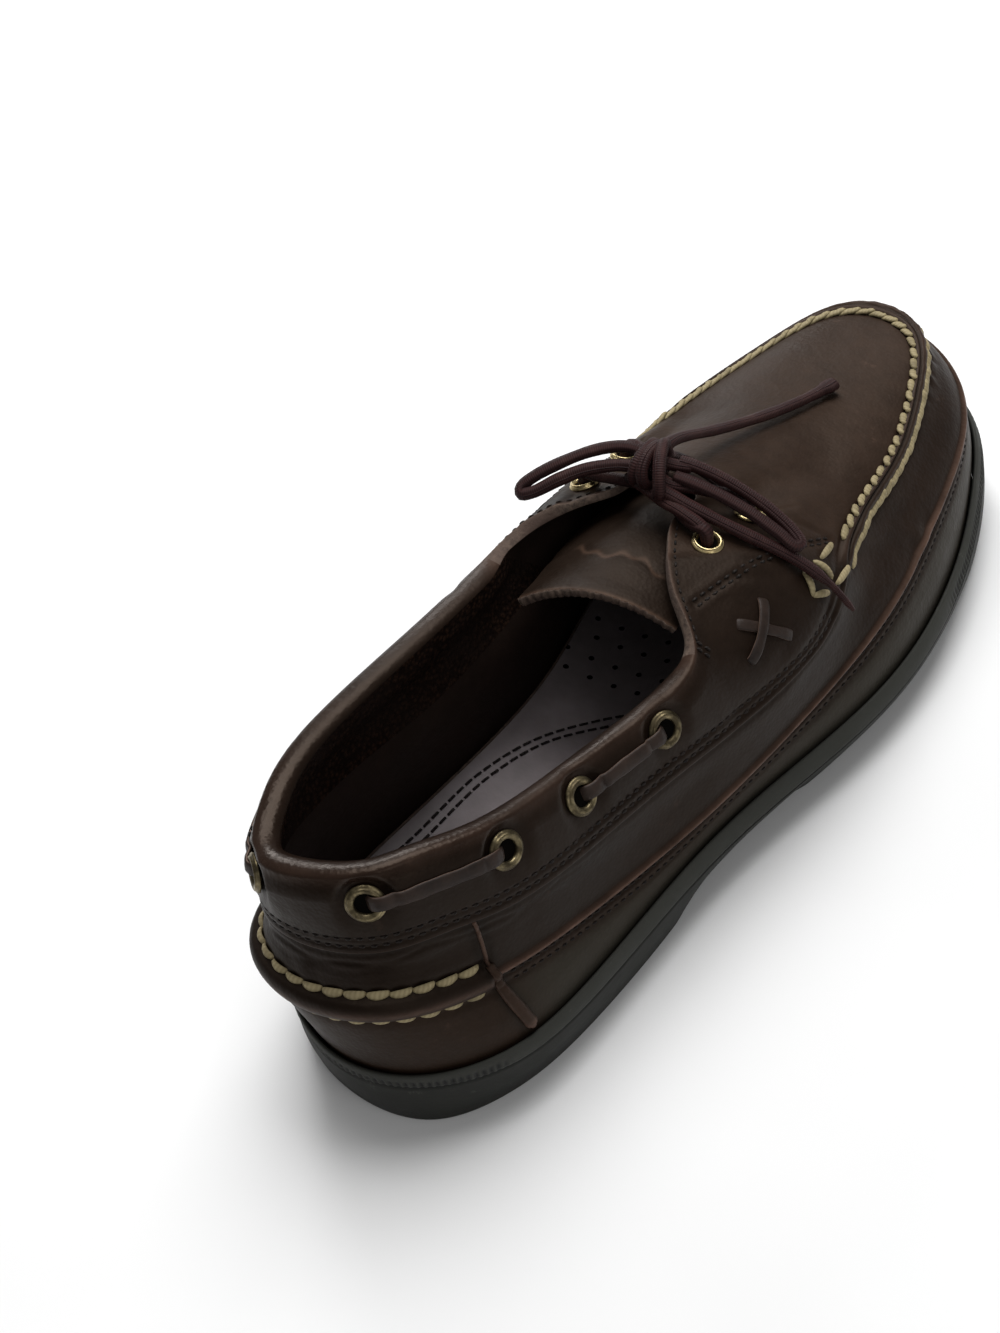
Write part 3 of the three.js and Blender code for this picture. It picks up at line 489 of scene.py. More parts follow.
def smooth_path(points, step):
    """Evenly spaced points on a smooth curve through the given ones."""
    p = np.asarray(points, float)
    full = np.concatenate([[2 * p[0] - p[1]], p, [2 * p[-1] - p[-2]]])
    out = []
    for a, b, c, d in zip(full[:-3], full[1:-2], full[2:-1], full[3:]):
        ab, bc, cd = (max(1e-6, norm(y - x) ** 0.5) for x, y in ((a, b), (b, c), (c, d)))
        m = bc * ((b - a) / ab - (c - a) / (ab + bc) + (c - b) / bc)
        k = bc * ((c - b) / bc - (d - b) / (bc + cd) + (d - c) / cd)
        out.extend(hermite(b, m, c, k, t) for t in np.linspace(0, 1, 24, endpoint=False))
    out.append(p[-1])
    out = np.array(out)
    run = run_along(out)
    count = max(2, int(round(run[-1] / step)) + 1)
    at = np.linspace(0, run[-1], count)
    return np.stack([np.interp(at, run, out[:, k]) for k in range(3)], -1)

def path_frames(path, up=None):
    """Side and up directions along a path, turned as little as can be or kept near given ups."""
    along = np.gradient(path, axis=0)
    along /= norm(along, axis=1, keepdims=True)
    if up is None:
        first = np.array([0, 0, 1.0]) if abs(along[0][2]) < 0.8 else np.array([1.0, 0, 0])
        ups = []
        for t in along:
            first = first - t * first.dot(t)
            first = first / norm(first)
            ups.append(first)
        up = np.array(ups)
    up = up - along * np.sum(up * along, 1, keepdims=True)
    up /= norm(up, axis=1, keepdims=True)
    return along, np.cross(up, along), up

def tube(path, size, sides, up=None, ends=True):
    """Points, quads, run and section angle of a tube. size is its half sizes to the side and up: a pair of
    numbers or of values along the path, or a function of run and angle."""
    _, side, up = path_frames(path, up)
    run = run_along(path)
    angle = np.arange(sides) * 2 * np.pi / sides
    wide, high = size(run[:, None], angle) if callable(size) else (np.reshape(s, (-1, 1)) for s in size)
    points = path[:, None] + side[:, None] * (wide * np.cos(angle))[..., None]
    points = points + up[:, None] * (high * np.sin(angle))[..., None]
    n = len(path)
    faces = grid_faces(n, sides, round_columns=True)[:, [0, 3, 2, 1]].tolist()
    if ends:
        faces += [list(range(sides)), list(range((n - 1) * sides, n * sides))[::-1]]
    return points.reshape(-1, 3), faces, np.repeat(run, sides), np.tile(angle, n)


def join(parts):
    """Several (points, faces, ...) sets as one, with the other entries strung together."""
    faces, start = [], 0
    for part in parts:
        faces += [[i + start for i in face] for face in part[1]]
        start += len(part[0])
    points, _, *rest = zip(*parts)
    return (np.concatenate(points), faces, *map(np.concatenate, rest))


def threads(name, parts, material, slot, replaces=()):
    """Several tubes as one piece."""
    points, faces, run, turn_at = join(parts)
    mesh_piece(name, points, faces, material, slot, replaces, {"run": run, "turn": turn_at})
# ---- materials


class Look:
    """A material whose node tree is built by short calls."""
    def __init__(self, name, roughness, **sockets):
        self.material = bpy.data.materials.new(name)
        self.material.use_nodes = True
        self.tree = self.material.node_tree
        self.shader = self.tree.nodes["Principled BSDF"]
        for key, value in {"Roughness": roughness, **sockets}.items():
            self.shader.inputs[key.replace("_", " ")].default_value = value
        self.place = self.node("TexCoord").outputs["Object"]

    def node(self, kind, inputs=None, **settings):
        made = self.tree.nodes.new("ShaderNode" + kind)
        for key, value in settings.items():
            setattr(made, key, value)
        for key, value in (inputs or {}).items():
            if isinstance(value, bpy.types.NodeSocket):
                self.tree.links.new(value, made.inputs[key])
            else:
                made.inputs[key].default_value = (*value, 1.0) if isinstance(value, tuple) else value
        return made

    def noise(self, scale, detail=3.0, roughness=0.5):
        inputs = {"Vector": self.place, "Scale": scale, "Detail": detail, "Roughness": roughness}
        return self.node("TexNoise", inputs).outputs["Fac"]

    def cells(self, scale, feature="F1"):
        inputs = {"Vector": self.place, "Scale": scale}
        return self.node("TexVoronoi", inputs, feature=feature).outputs["Distance"]

    def value(self, name):
        return self.node("Attribute", attribute_name=name).outputs["Fac"]

    def math(self, operation, a, b=0.0, clamp=False):
        return self.node("Math", {0: a, 1: b}, operation=operation, use_clamp=clamp).outputs[0]

    def plus(self, a, b):
        return self.math("ADD", a, b)

    def minus(self, a, b):
        return self.math("SUBTRACT", a, b)

    def times(self, a, b, clamp=False):
        return self.math("MULTIPLY", a, b, clamp)

    def sine(self, a):
        return self.math("SINE", a)

    def ramp(self, value, low, high, to_low=0.0, to_high=1.0):
        inputs = {"Value": value, "From Min": low, "From Max": high, "To Min": to_low, "To Max": to_high}
        return self.node("MapRange", inputs, clamp=True).outputs["Result"]

    def blend(self, factor, a, b):
        return self.node("Mix", {0: factor, 6: a, 7: b}, data_type="RGBA").outputs[2]

    def patches(self, noise, low, high, under, over, most=1.0):
        """Colour under, with colour over where a noise is high."""
        return self.blend(self.ramp(self.noise(*noise), low, high, 0.0, most), under, over)

    def to(self, socket, value):
        self.tree.links.new(value, self.shader.inputs[socket])

    def bump(self, height, strength, distance, normal=None):
        made = self.node("Bump", {"Height": height, "Strength": strength, "Distance": distance})
        if normal is not None:
            self.tree.links.new(normal, made.inputs["Normal"])
        return made.outputs["Normal"]


def leather(name, dark, light, worn, roughness=0.5, grain=1.0):
    """Oiled leather: fine pebbled grain, cloudy colour made darker or lighter by painted light and shade,
    scuffs, a lighter colour where it is worn, and a painted greyish reflection of the floor low down."""
    look = Look(name, roughness, Specular_IOR_Level=0.15, Specular_Tint=(1.0, 0.78, 0.62, 1.0))
    cloud, fine = look.noise(28, 4, 0.6), look.noise(240, 3, 0.6)
    # the light values, which hold the panels' painted light and shade, scale the colour's value
    speck = look.times(look.ramp(fine, 0.35, 0.75, 0.86, 1.12), look.value("light"))
    wear = look.times(look.value("wear"), look.ramp(look.noise(90, 4, 0.65), 0.3, 0.62, 0.45, 1.0), True)
    scuff = look.times(look.ramp(look.noise(60, 6, 0.75), 0.62, 0.72), look.ramp(look.noise(9, 2), 0.5, 0.62))
    colour = look.blend(look.ramp(cloud, 0.32, 0.7), dark, light)
    colour = look.blend(look.times(scuff, 0.35), colour, worn)
    colour = look.node("HueSaturation", {"Color": colour, "Value": speck}).outputs["Color"]
    # a painted greyish reflection of the pale floor on the leather low down
    look.to("Base Color", look.blend(look.value("floor_reflection"), look.blend(wear, colour, worn), PAINTED_FLOOR_REFLECTION))
    rough = look.plus(look.times(cloud, 0.7), look.times(fine, 0.3))
    rough = look.ramp(rough, 0.3, 0.7, roughness - 0.07, roughness + 0.1)
    rough = look.minus(rough, look.times(look.value("gloss"), 0.2))
    look.to("Roughness", look.minus(rough, look.times(wear, 0.1)))
    height = look.plus(look.times(look.cells(900), 0.5), look.times(look.cells(420, "SMOOTH_F1"), 0.6))
    height = look.plus(height, look.times(look.noise(130, 5, 0.6), 1.2))
    crease = {"Vector": look.place, "Scale": 14.0, "Distortion": 9.0, "Detail": 3.0, "Detail Scale": 2.5}
    crease = look.node("TexWave", crease).outputs["Fac"]
    look.to("Normal", look.bump(crease, 0.08 * grain, 0.0008, look.bump(height, 0.28 * grain, 0.0004)))
    return look.material


def raw_edge():
    look = Look("raw leather edge", 0.85)
    fibre = look.noise(520, 5, 0.75)
    colour = look.blend(look.ramp(fibre, 0.35, 0.68), (0.035, 0.022, 0.016), (0.17, 0.12, 0.088))
    look.to("Base Color", look.patches((70, 3), 0.4, 0.65, colour, (0.075, 0.046, 0.034)))
    look.to("Normal", look.bump(fibre, 0.7, 0.0006))
    return look.material


def terry():
    """Looped brown lining."""
    look = Look("collar lining", 0.95, Specular_IOR_Level=0.03)
    loops = look.cells(750)
    colour = look.blend(look.ramp(loops, 0.05, 0.6), (0.038, 0.019, 0.0115), (0.008, 0.0042, 0.003))
    look.to("Base Color", look.patches((40, 4), 0.4, 0.7, colour, (0.017, 0.011, 0.009)))
    look.to("Normal", look.bump(look.minus(look.noise(900, 4, 0.7), loops), 0.8, 0.0012))
    return look.material


def rubber():
    """Charcoal rubber with dusty patches, painted light on the rim band, which slopes up, painted shade in
    grooves and creases, and small scuffs.
    """
    look = Look("charcoal rubber", 0.66, Specular_IOR_Level=0.2)
    dust = look.noise(34, 5, 0.65)
    colour = look.blend(look.ramp(dust, 0.35, 0.7), (0.012, 0.0122, 0.0102), (0.022, 0.0223, 0.019))
    # painted light on the rim band, which slopes up and faces the lamps
    colour = look.blend(look.times(look.value("band"), 0.75), colour, (0.036, 0.0364, 0.0305))
    # painted shade in the grooves, the crevice under the rim and the tread's cuts
    colour = look.blend(look.times(look.value("crease"), 0.9), colour, (0.008, 0.008, 0.008))
    marks = look.ramp(look.noise(150, 6, 0.8), 0.62, 0.7)
    look.to("Base Color", look.blend(look.times(marks, 0.3), colour, (0.13, 0.13, 0.115)))
    look.to("Roughness", look.ramp(dust, 0.3, 0.7, 0.52, 0.74))
    fine = look.bump(look.noise(700, 3, 0.6), 0.25, 0.0003)
    look.to("Normal", look.bump(look.noise(60, 4, 0.6), 0.12, 0.001, fine))
    return look.material


def thread(name, dark, light, roughness, twist_depth=0.6):
    """Twisted waxed thread: run counts millimetres along each stitch, turn is the angle round it."""
    look = Look(name, roughness, Specular_IOR_Level=0.25)
    twist = look.plus(look.times(look.value("run"), 5.5), look.times(look.value("turn"), 2.0))
    ply = look.ramp(look.sine(twist), -1, 1)
    colour = look.blend(ply, dark, light)
    look.to("Base Color", look.patches((160, 4), 0.5, 0.75, colour, tuple(0.62 * c for c in dark)))
    fibre = look.plus(ply, look.times(look.noise(1800, 2), 0.4))
    look.to("Normal", look.bump(fibre, twist_depth, 0.0003))
    return look.material


def lace_look():
    """Flat braided cotton lace: slanting ribs, seams along it, waxed."""
    look = Look("waxed cotton lace", 0.6, Specular_IOR_Level=0.16)
    run, turn = look.times(look.value("run"), 5.2), look.value("turn")
    slant = look.times(turn, 3.0)
    braid = look.times(look.sine(look.plus(run, slant)), look.sine(look.minus(run, slant)))
    braid = look.ramp(braid, -1, 1)
    seams = look.math("ABSOLUTE", look.sine(look.times(turn, 1.5)))
    between = look.ramp(seams, 0.0, 0.22)
    colour = look.blend(braid, (0.0136, 0.005, 0.005), (0.038, 0.0132, 0.0123))
    colour = look.blend(between, (0.012, 0.005, 0.006), colour)
    look.to("Base Color", look.patches((70, 5, 0.7), 0.5, 0.72, colour, (0.07, 0.031, 0.025), 0.5))
    look.to("Normal", look.bump(look.plus(look.times(braid, 0.5), between), 0.7, 0.0005))
    return look.material


def rawhide_look():
    look = Look("rawhide strip", 0.5, Specular_IOR_Level=0.2)
    streak = look.noise(110, 5, 0.65)
    colour = look.blend(look.ramp(streak, 0.35, 0.7), (0.012, 0.007, 0.005), (0.032, 0.019, 0.0135))
    edge = look.ramp(look.math("ABSOLUTE", look.sine(look.value("turn"))), 0.0, 0.4, 0.9, 0.0)
    look.to("Base Color", look.blend(edge, colour, (0.15, 0.095, 0.07)))
    look.to("Normal", look.bump(look.plus(streak, look.noise(600, 4)), 0.35, 0.0004))
    return look.material


def brass(name, base, dull, roughness, tarnish):
    look = Look(name, roughness, Metallic=1.0)
    spots = look.noise(260, 5, 0.65)
    amount = look.ramp(spots, 0.62 - 0.3 * tarnish, 0.75 - 0.2 * tarnish)
    look.to("Base Color", look.blend(amount, base, dull))
    look.to("Roughness", look.ramp(spots, 0.35, 0.7, roughness - 0.06, roughness + 0.2))
    look.to("Normal", look.bump(look.noise(420, 4), 0.12, 0.0003))
    return look.material


def insole_look():
    look = Look("insole cover", 0.5, Specular_IOR_Level=0.5)
    look.to("Base Color", look.patches((22, 5, 0.6), 0.35, 0.68, (0.187, 0.157, 0.16), (0.34, 0.292, 0.3)))
    look.to("Normal", look.bump(look.noise(500, 4, 0.6), 0.3, 0.0004))
    return look.material


def plain_look(name, colour, roughness, shine=0.5):
    look = Look(name, roughness, Specular_IOR_Level=shine)
    tone = look.ramp(look.noise(6, 3), 0.3, 0.7, 0.97, 1.03)
    look.to("Base Color", look.node("HueSaturation", {"Color": colour, "Value": tone}).outputs["Color"])
    return look.material


DARK, MID, WORN = (0.0125, 0.0068, 0.0043), (0.0225, 0.0133, 0.0090), (0.105, 0.061, 0.045)
# colour of the painted reflection of the pale floor on the leather low down
PAINTED_FLOOR_REFLECTION = (0.031, 0.0295, 0.0235)
skin_look = leather("dark oiled leather", DARK, MID, WORN, 0.48)
inner_look = leather("inside leather", (0.008, 0.005, 0.004), (0.017, 0.010, 0.008), (0.05, 0.03, 0.022), 0.7)
tongue_look = leather("tongue leather", (0.0078, 0.0044, 0.0029), (0.015, 0.009, 0.006), (0.13, 0.076, 0.052),
                      0.52, 1.3)
edge_look, lining_look, sole_look, cotton_look = raw_edge(), terry(), rubber(), lace_look()
cream_look = thread("cream waxed thread", (0.255, 0.205, 0.11), (0.315, 0.26, 0.145), 0.62, 0.2)
dark_thread_look = thread("dark thread", (0.006, 0.004, 0.003), (0.02, 0.013, 0.01), 0.7)
strip_look, cover_look = rawhide_look(), insole_look()
antique_look = brass("antique brass", (0.25, 0.205, 0.115), (0.07, 0.056, 0.033), 0.4, 0.9)
bright_look = brass("bright brass", (0.62, 0.5, 0.26), (0.2, 0.14, 0.06), 0.24, 0.2)
# near black, for the painted shade inside holes
hole_shade_look = plain_look("painted hole shade", (0.003, 0.0025, 0.002), 0.95, 0.02)

# ---- tied lace


def lace_tube(path, tip=0.0, knob=0.0):
    """A lace that may end in a thin dipped tip or a flattened knob."""
    length = run_along(path)[-1]

    def size(run, angle):
        left = length - run
        seam_dent = 1 - 0.1 * bell(np.abs(np.sin(1.5 * angle)), 0.25)
        thin = 1 - 0.45 * tip * smooth((16 - left) / 6) - 0.25 * tip * smooth((2.5 - left) / 2.5)
        swell_out = 1 + knob * 0.45 * smooth((5.5 - left) / 3) * (1 - smooth((1.2 - left) / 1.2) * 0.5)
        wave = 1 + 0.03 * np.sin(run / 3.7) + 0.02 * np.sin(run / 1.9 + 1)
        r = LACE_RADIUS * seam_dent * thin * wave
        return 1.17 * r * swell_out, 0.94 * r * (1 + knob * 0.1 * smooth((5 - left) / 3))
    return tube(path, size, 16)


def lace_piece(name, node, tip=0.0, knob=0.0):
    """A free stretch of the lace in place of a cord node."""
    path = smooth_path(LACE_ROUTES[node], 0.8)
    length = float(run_along(path)[-1])
    points, faces, run, turn_at = lace_tube(path, tip, knob)
    piece = mesh_piece(name, points, faces, cotton_look, "lace_cotton", (node,), {"run": run, "turn": turn_at})


lace_piece("bow_loop_inner", "lace_loop_inner")
lace_piece("bow_loop_outer", "lace_loop_outer")
lace_piece("bow_end_plug", "lace_end_plug", knob=1.0)
lace_piece("bow_end_side", "lace_end_side", tip=1.0)

# ---- upper
COLUMNS, INSIDE_COLUMNS = 616, 352          # columns of the grids round the shoe
EDGE = np.array([0, .5, 1, 1.5, 2, 2.5, 3, 3.5, 4, 4.6, 5.3, 6.2, 7.4])
CROWN = (0.15, 0.35, 0.6, 0.85, 1.0)        # steps over the rim, from the outside in
FIRST_LEVEL = 0.3
# for each step between rings: whether rows crowd its low end, how many lie between, whether they crowd its high end
ROW_PLAN = [(False, 3, False), (False, 5, True), (True, 6, True), (True, 14, False), (False, 10, True)]


def levels(u):
    """Levels v of the grid's rows in each column: close together at the ridge, the seam and the mouth."""
    h = spans(u)
    rows = [np.full(len(u), FIRST_LEVEL)]
    for i, (low, middle, high) in enumerate(ROW_PLAN):
        squeeze = np.minimum(1, 0.46 * h[:, i] / EDGE[-1])
        from_low = EDGE if low else EDGE[[0, -1]]
        to_high = EDGE if high else EDGE[[0, -1]]
        rows += [i + d * squeeze / h[:, i] for d in from_low[1:]]
        a = EDGE[-1] * squeeze / h[:, i]
        rows += [i + mix(a, 1 - a, k / middle) for k in range(1, middle)]
        rows += [i + 1 - d * squeeze / h[:, i] for d in to_high[::-1]]
    return np.clip(np.sort(np.array(rows), axis=0), FIRST_LEVEL, 5)


def upper_piece():
    u = stations(COLUMNS)
    v = levels(u)
    uu = np.broadcast_to(u, v.shape)
    base = surface(uu, v)
    lift, worn, light = relief(uu, v, base)
    points = base + outward(uu, v) * lift[..., None]
    inner_mouth = surface(u, 5.0) - outward(u, 5.0) * wall(u, 5.0)[:, None]
    rise = surface(u, 5.0) - surface(u, 4.93)
    rise /= norm(rise, axis=1, keepdims=True)
    pad = collar(u)
    crown_height = mix(0.25, COLLAR_CROWN, pad)
    crown = [mix(points[-1], inner_mouth, (1 - np.cos(t * np.pi)) / 2)
             + rise * (crown_height * math.sin(t * np.pi))[:, None] for t in CROWN]
    shine = pad * mix(1.0, 0.45, smooth((from_heel(u) - 2.2) / 1.2))
    # painted reflection of the pale floor on the leather low down, in front of the heel
    below = smooth((-2.5 - offsets(uu, v)[0]) / 5) * smooth((from_heel(u) - 2.3) / 0.8)

    def with_crown(low, rim):
        return np.concatenate([low, np.array(rim) * np.ones((len(CROWN), 1))])
    values = {
        "wear": with_crown(worn, [mix(0.55, 0.2 * (1 - t), pad) for t in CROWN]),
        "light": with_crown(light, mix(1.0, light[-1], pad)),
        "gloss": with_crown(smooth((v - 4.55) / 0.3) * shine, shine),
        "floor_reflection": with_crown(0.75 * below, 0 * u),
    }
    sheet = np.concatenate([points, crown])
    faces = grid_faces(len(sheet), COLUMNS, round_columns=True)
    piece = mesh_piece("upper_leather", sheet, faces, skin_look, "leather", ("upper",), values, (edge_look,))
    first = np.repeat(np.arange(len(sheet) - 1), COLUMNS)
    raw = (first >= len(points) - 1) & np.tile(pad < 0.4, len(sheet) - 1)
    piece.data.polygons.foreach_set("material_index", raw.astype(np.int32))


def lining_pieces():
    """Inside of the upper: looped lining at the collar, smooth leather below and in front."""
    u = stations(INSIDE_COLUMNS)
    v = np.concatenate([np.linspace(5, 4, 22), np.linspace(3.93, 0.02, 44)])[:, None] + 0 * u
    uu = np.broadcast_to(u, v.shape)
    slack = 0.25 * np.sin(uu * 5.1 + 3 * v) * smooth((4.4 - v) / 0.4)
    points = surface(uu, v) - outward(uu, v) * (wall(uu, v) + slack)[..., None]
    faces = grid_faces(len(v), len(u), round_columns=True)
    i, j = faces[:, 0] // len(u), faces[:, 0] % len(u)
    soft = (v[i, 0] > 3.35) & (from_heel(u[j]) < COLLAR_FRONT + 0.25)
    mesh_piece("collar_lining", points, faces[soft], lining_look, "leather")
    values = {"wear": 0 * v, "light": 1 + 0 * v}
    mesh_piece("inside_leather", points, faces[~soft], inner_look, "leather", values=values)


upper_piece()
lining_pieces()

# ---- sole

SOLE_COLUMNS = 1640
RIB_PITCH, RIB_DEPTH = 1.9, 0.55
TREAD_GROOVES = [-128, -112, -96, -80, 16, 32, 48, 64, 80]


def raised(points, height):
    return points + np.array([0, 0, height])


def sole_pieces():
    """The sole's wall from the tread to the rim inside, ring by ring, and its underside."""
    u = stations(SOLE_COLUMNS)
    edge = surface(u, 1.0)
    tread = TREAD(u)
    tread[:, 2] = underside(tread[:, 1])
    rim = offset_ring(edge, LIP_THICK)
    widest = raised(offset_ring(edge, RIMS(u)), -LIP_BAND)
    belly = mix(tread, widest, 0.55) + plan_normals(tread) * 0.6
    corner_in = offset_ring(tread, -1.2)
    rows, band, crease = [], [], []

    # b is how much of the rim band's painted light a row gets, c how much painted shade its groove or crease gets
    def add(points, b=0.0, c=0.0):
        rows.append(points)
        band.append(np.full(len(u), float(b)))
        crease.append(c + 0 * u)
    add(corner_in)
    add(raised(mix(corner_in, tread, 0.75), 0.15))
    add(mix(tread, belly, 0.06))
    for t in np.linspace(0.15, 1, 7):
        add(hermite(tread, (belly - tread) * 1.1, belly, (widest - tread) * 0.5, t))
    for t in np.linspace(0.12, 0.9, 7):
        add(hermite(belly, (widest - tread) * 0.5, widest, (widest - belly) * 0.8, t))
    groove = offset_ring(widest, -0.35)
    add(raised(groove, -0.35), 0.2, 0.8)
    add(raised(groove, 0.25), 0.3, 0.8)

    # rim band, with fine upright ribs round the heel and the toe
    zone = np.maximum(smooth((2.3 - from_heel(u)) / 0.3), smooth((from_heel(u) - 7.4) / 0.4))
    ribs = zone * (0.5 + 0.5 * np.cos(np.interp(u, RING_RUN_U, RUNS[1]) * 2 * np.pi / RIB_PITCH))
    for t in np.linspace(0.06, 0.9, 9):
        depth = ribs * RIB_DEPTH * math.sin(min(1, t * 1.6) * math.pi) ** 0.5 if t < 0.62 else 0 * ribs
        add(offset_ring(mix(widest, rim, t), math.sin(t * math.pi) * 0.35 - depth), 1.0, np.minimum(1, 2.2 * depth))
    inner_rim = offset_ring(edge, GAP + 0.15)
    add(raised(mix(rim, inner_rim, 0.15), 0.25), 1.0)
    add(raised(mix(rim, inner_rim, 0.75), 0.1), 0.7, 0.2)
    add(raised(inner_rim, -1.0), 0.2, 1.0)
    add(raised(inner_rim, -3.5), 0.0, 1.0)
    faces = grid_faces(len(rows), len(u), round_columns=True)
    mesh_piece("sole_wall", rows, faces, sole_look, "sole_rubber", ("outsole",), {"band": band, "crease": crease})
    tread_piece(corner_in)


def bridged(border, count):
    """A grid of points across a closed border, from its outer side (t is 0) to its inner side (t is 1)."""
    half = len(border) // 2
    t = np.linspace(0, 1, count)
    return t, border[1:half, None] * (1 - t[:, None]) + border[:half:-1, None] * t[:, None]


def tread_piece(border):
    """Underside: a grid across the tread with cut grooves and fine wavy slits."""
    t, p = bridged(border, 49)
    y = np.linspace(p[0, 0, 1] + 0.3, p[-1, 0, 1] - 0.3, 520)
    x = np.stack([np.interp(y, p[:, k, 1], p[:, k, 0]) for k in range(len(t))], -1)
    y = y[:, None] + 0 * x
    margin = np.minimum(t, 1 - t) * np.ptp(x, axis=1)[:, None]
    inside_edge = smooth((margin - 7) / 1.5)
    cut = sum(smooth((1.6 - np.abs(y - g - 1.5 * np.sin(x / 6))) / 0.5) for g in TREAD_GROOVES)
    slit = smooth((np.abs(((y + 1.6 * np.sin(x / 2.6)) % 4.0) - 2.0) - 1.65) / 0.15)
    slit = slit * ((y < HEEL_BREAST) | (y > FORE_BACK))
    z = underside(y) + inside_edge * (1.9 * np.clip(cut, 0, 1) + 0.8 * slit)
    # the tread's cuts and slits get painted shade through the crease values
    mesh_piece("sole_tread", np.stack([x, y, z], -1), grid_faces(*x.shape), sole_look, "sole_rubber",
               values={"band": 0 * z, "crease": np.clip(inside_edge * (cut + slit), 0, 1) * 0.7})


sole_pieces()

# ---- threads

# pitch, length over pitch, width, thickness and arch of the stitches along the rings
MOC_THREAD = (4.7, 1.3, 2.5, 1.4, 0.75)
INNER_DROP = 1.4                            # the wall's row lies this much lower on the inner side
HEEL_THREAD, LOW_HEEL_THREAD = (6.4, 1.0, 2.5, 1.3, 0.7), (6.4, 0.86, 2.0, 1.2, 0.35)
COLLAR_THREAD, LAP_THREAD = (2.9, 0.72, 0.75, 0.6, 0.22), (2.7, 0.7, 0.6, 0.5, 0.18)


def stitch(u, v, width, thick, arch, sides=8, sink=0.35):
    """One thread over the leather along places u and v: it dips in at its ends."""
    full = np.sin(np.pi * np.linspace(0, 1, len(u)))
    normal = outward(u, v)
    path = skin(u, v) + normal * (-sink + (arch + sink) * full ** 0.6)[:, None]
    size = width / 2 * (0.38 + 0.62 * full ** 0.6), thick / 2 * (0.5 + 0.5 * full ** 0.5)
    return tube(path, size, sides, normal)


def stitch_row(level, start, end, side, kind, slant=0.0, points=8, sides=8, uneven=0.0, seed=1, sink=0.35, moc=False):
    """Stitches of a kind from station start to station end, side millimetres up from a ring, or in the moc
    seam from its groove."""
    pitch, fill, width, thick, arch = kind
    a, b = np.interp([start, end], RING_RUN_U, RUNS[level])
    count = max(1, int(round((b - a) / pitch)))
    pitch = (b - a) / count
    chance = np.random.default_rng(seed)
    t = np.linspace(-0.5, 0.5, points)
    made = []
    for k in range(count):
        middle = a + (k + 0.5) * pitch + chance.normal(0, uneven * 0.25)
        tilt = slant * (1 + chance.normal(0, uneven * 0.3))
        height = side
        if moc:
            station = np.interp(middle, RUNS[level], RING_RUN_U)
            drop = INNER_DROP * smooth((station - 9.5) / 3) if side < 0 else 0.0
            height = roll_middle(station) + side - drop
        height = height + tilt * t * 2 * np.abs(t * 2) ** 0.3 + chance.normal(0, uneven * 0.12)
        u = np.interp(middle + t * pitch * fill, RUNS[level], RING_RUN_U)
        h = spans(u)
        v = level + height / np.where(height > 0, h[:, level], h[:, level - 1])
        grow = 1 + chance.normal(0, uneven * 0.08)
        made.append(stitch(u, v, width * grow, thick, arch, sides, sink))
    return made


def line_stitches(line, pitch, fill, width, arch, shift=0.0):
    """Stitches along a line of places, shifted sideways by so many millimetres."""
    u, v, run = along_line(line, 0.5)
    if shift:
        tall = spans(u)[np.arange(len(u)), np.clip(np.floor(v).astype(int), 0, 4)]
        wide = norm(surface(u + 0.05, v) - surface(u - 0.05, v), axis=1) / 0.1
        a, b = np.gradient(u) * wide, np.gradient(v) * tall
        size = np.hypot(a, b)
        u, v = u - shift * b / size / wide, v + shift * a / size / tall
    count = max(1, int(run[-1] / pitch))
    made = []
    for k in range(count):
        at = (k + 0.5) * run[-1] / count + np.linspace(-0.5, 0.5, 6) * pitch * fill
        made.append(stitch(np.interp(at, run, u), np.interp(at, run, v), width, width * 0.8, arch, 6, 0.2))
    return made


MOC_FROM, ROLL_TO, COLLAR_TO, LAP_FROM = 6.95, 2.36, 6.15, 2.68       # stations where the rows start or end
for name, side, start, seed in (("plug", MOC_ROWS, MOC_FROM, 3), ("wall", -MOC_ROWS, MOC_FROM - 0.2, 5)):
    rope = stitch_row(3, start, ROUND - start, side, MOC_THREAD, 0.75, 9, uneven=0.6, seed=seed, sink=0.0, moc=True)
    threads("moc_stitches_" + name, rope, cream_look, "lace_cotton")
heel_rows = []
for a, b in ((0.0, ROLL_TO), (ROUND - ROLL_TO, ROUND)):
    heel_rows += stitch_row(2, a, b, HEEL_ROW - 0.4, HEEL_THREAD, 0.25, 9, 10, 0.6, 7)
    heel_rows += stitch_row(2, a, b, -3.9, LOW_HEEL_THREAD, -0.25, 9, 10, 0.5, 9)
threads("heel_stitches", heel_rows, cream_look, "lace_cotton")

fine = []
for a, b in ((0.0, COLLAR_TO), (ROUND - COLLAR_TO, ROUND)):
    for side in COLLAR_ROWS:
        fine += stitch_row(3, a, b, side, COLLAR_THREAD, points=5, sides=5)
for side in LAP_ROWS:
    fine += stitch_row(2, LAP_FROM, ROUND - LAP_FROM, side, LAP_THREAD, points=5, sides=5)
for line in both_sides(EYESTAY_LINE):
    for shift in (0.9, -0.9):
        fine += line_stitches(line, 2.9, 0.72, 0.7, 0.2, shift)
for line in both_sides([(5.35, 4.93), (6.0, 4.93), (7.0, 4.93), (8.0, 4.94), (8.6, 4.95)]):
    fine += line_stitches(line, 2.7, 0.7, 0.65, 0.2)
fine += line_stitches([(20.4, 4.45), (20.4, 4.98)], 2.0, 0.8, 0.9, 0.3)
for place in (5.28, 5.36):
    for line in both_sides([(place, 4.62), (place, 4.97)]):
        fine += line_stitches(line, 2.2, 0.8, 0.9, 0.3)
threads("dark_stitches", fine, dark_thread_look, "leather")

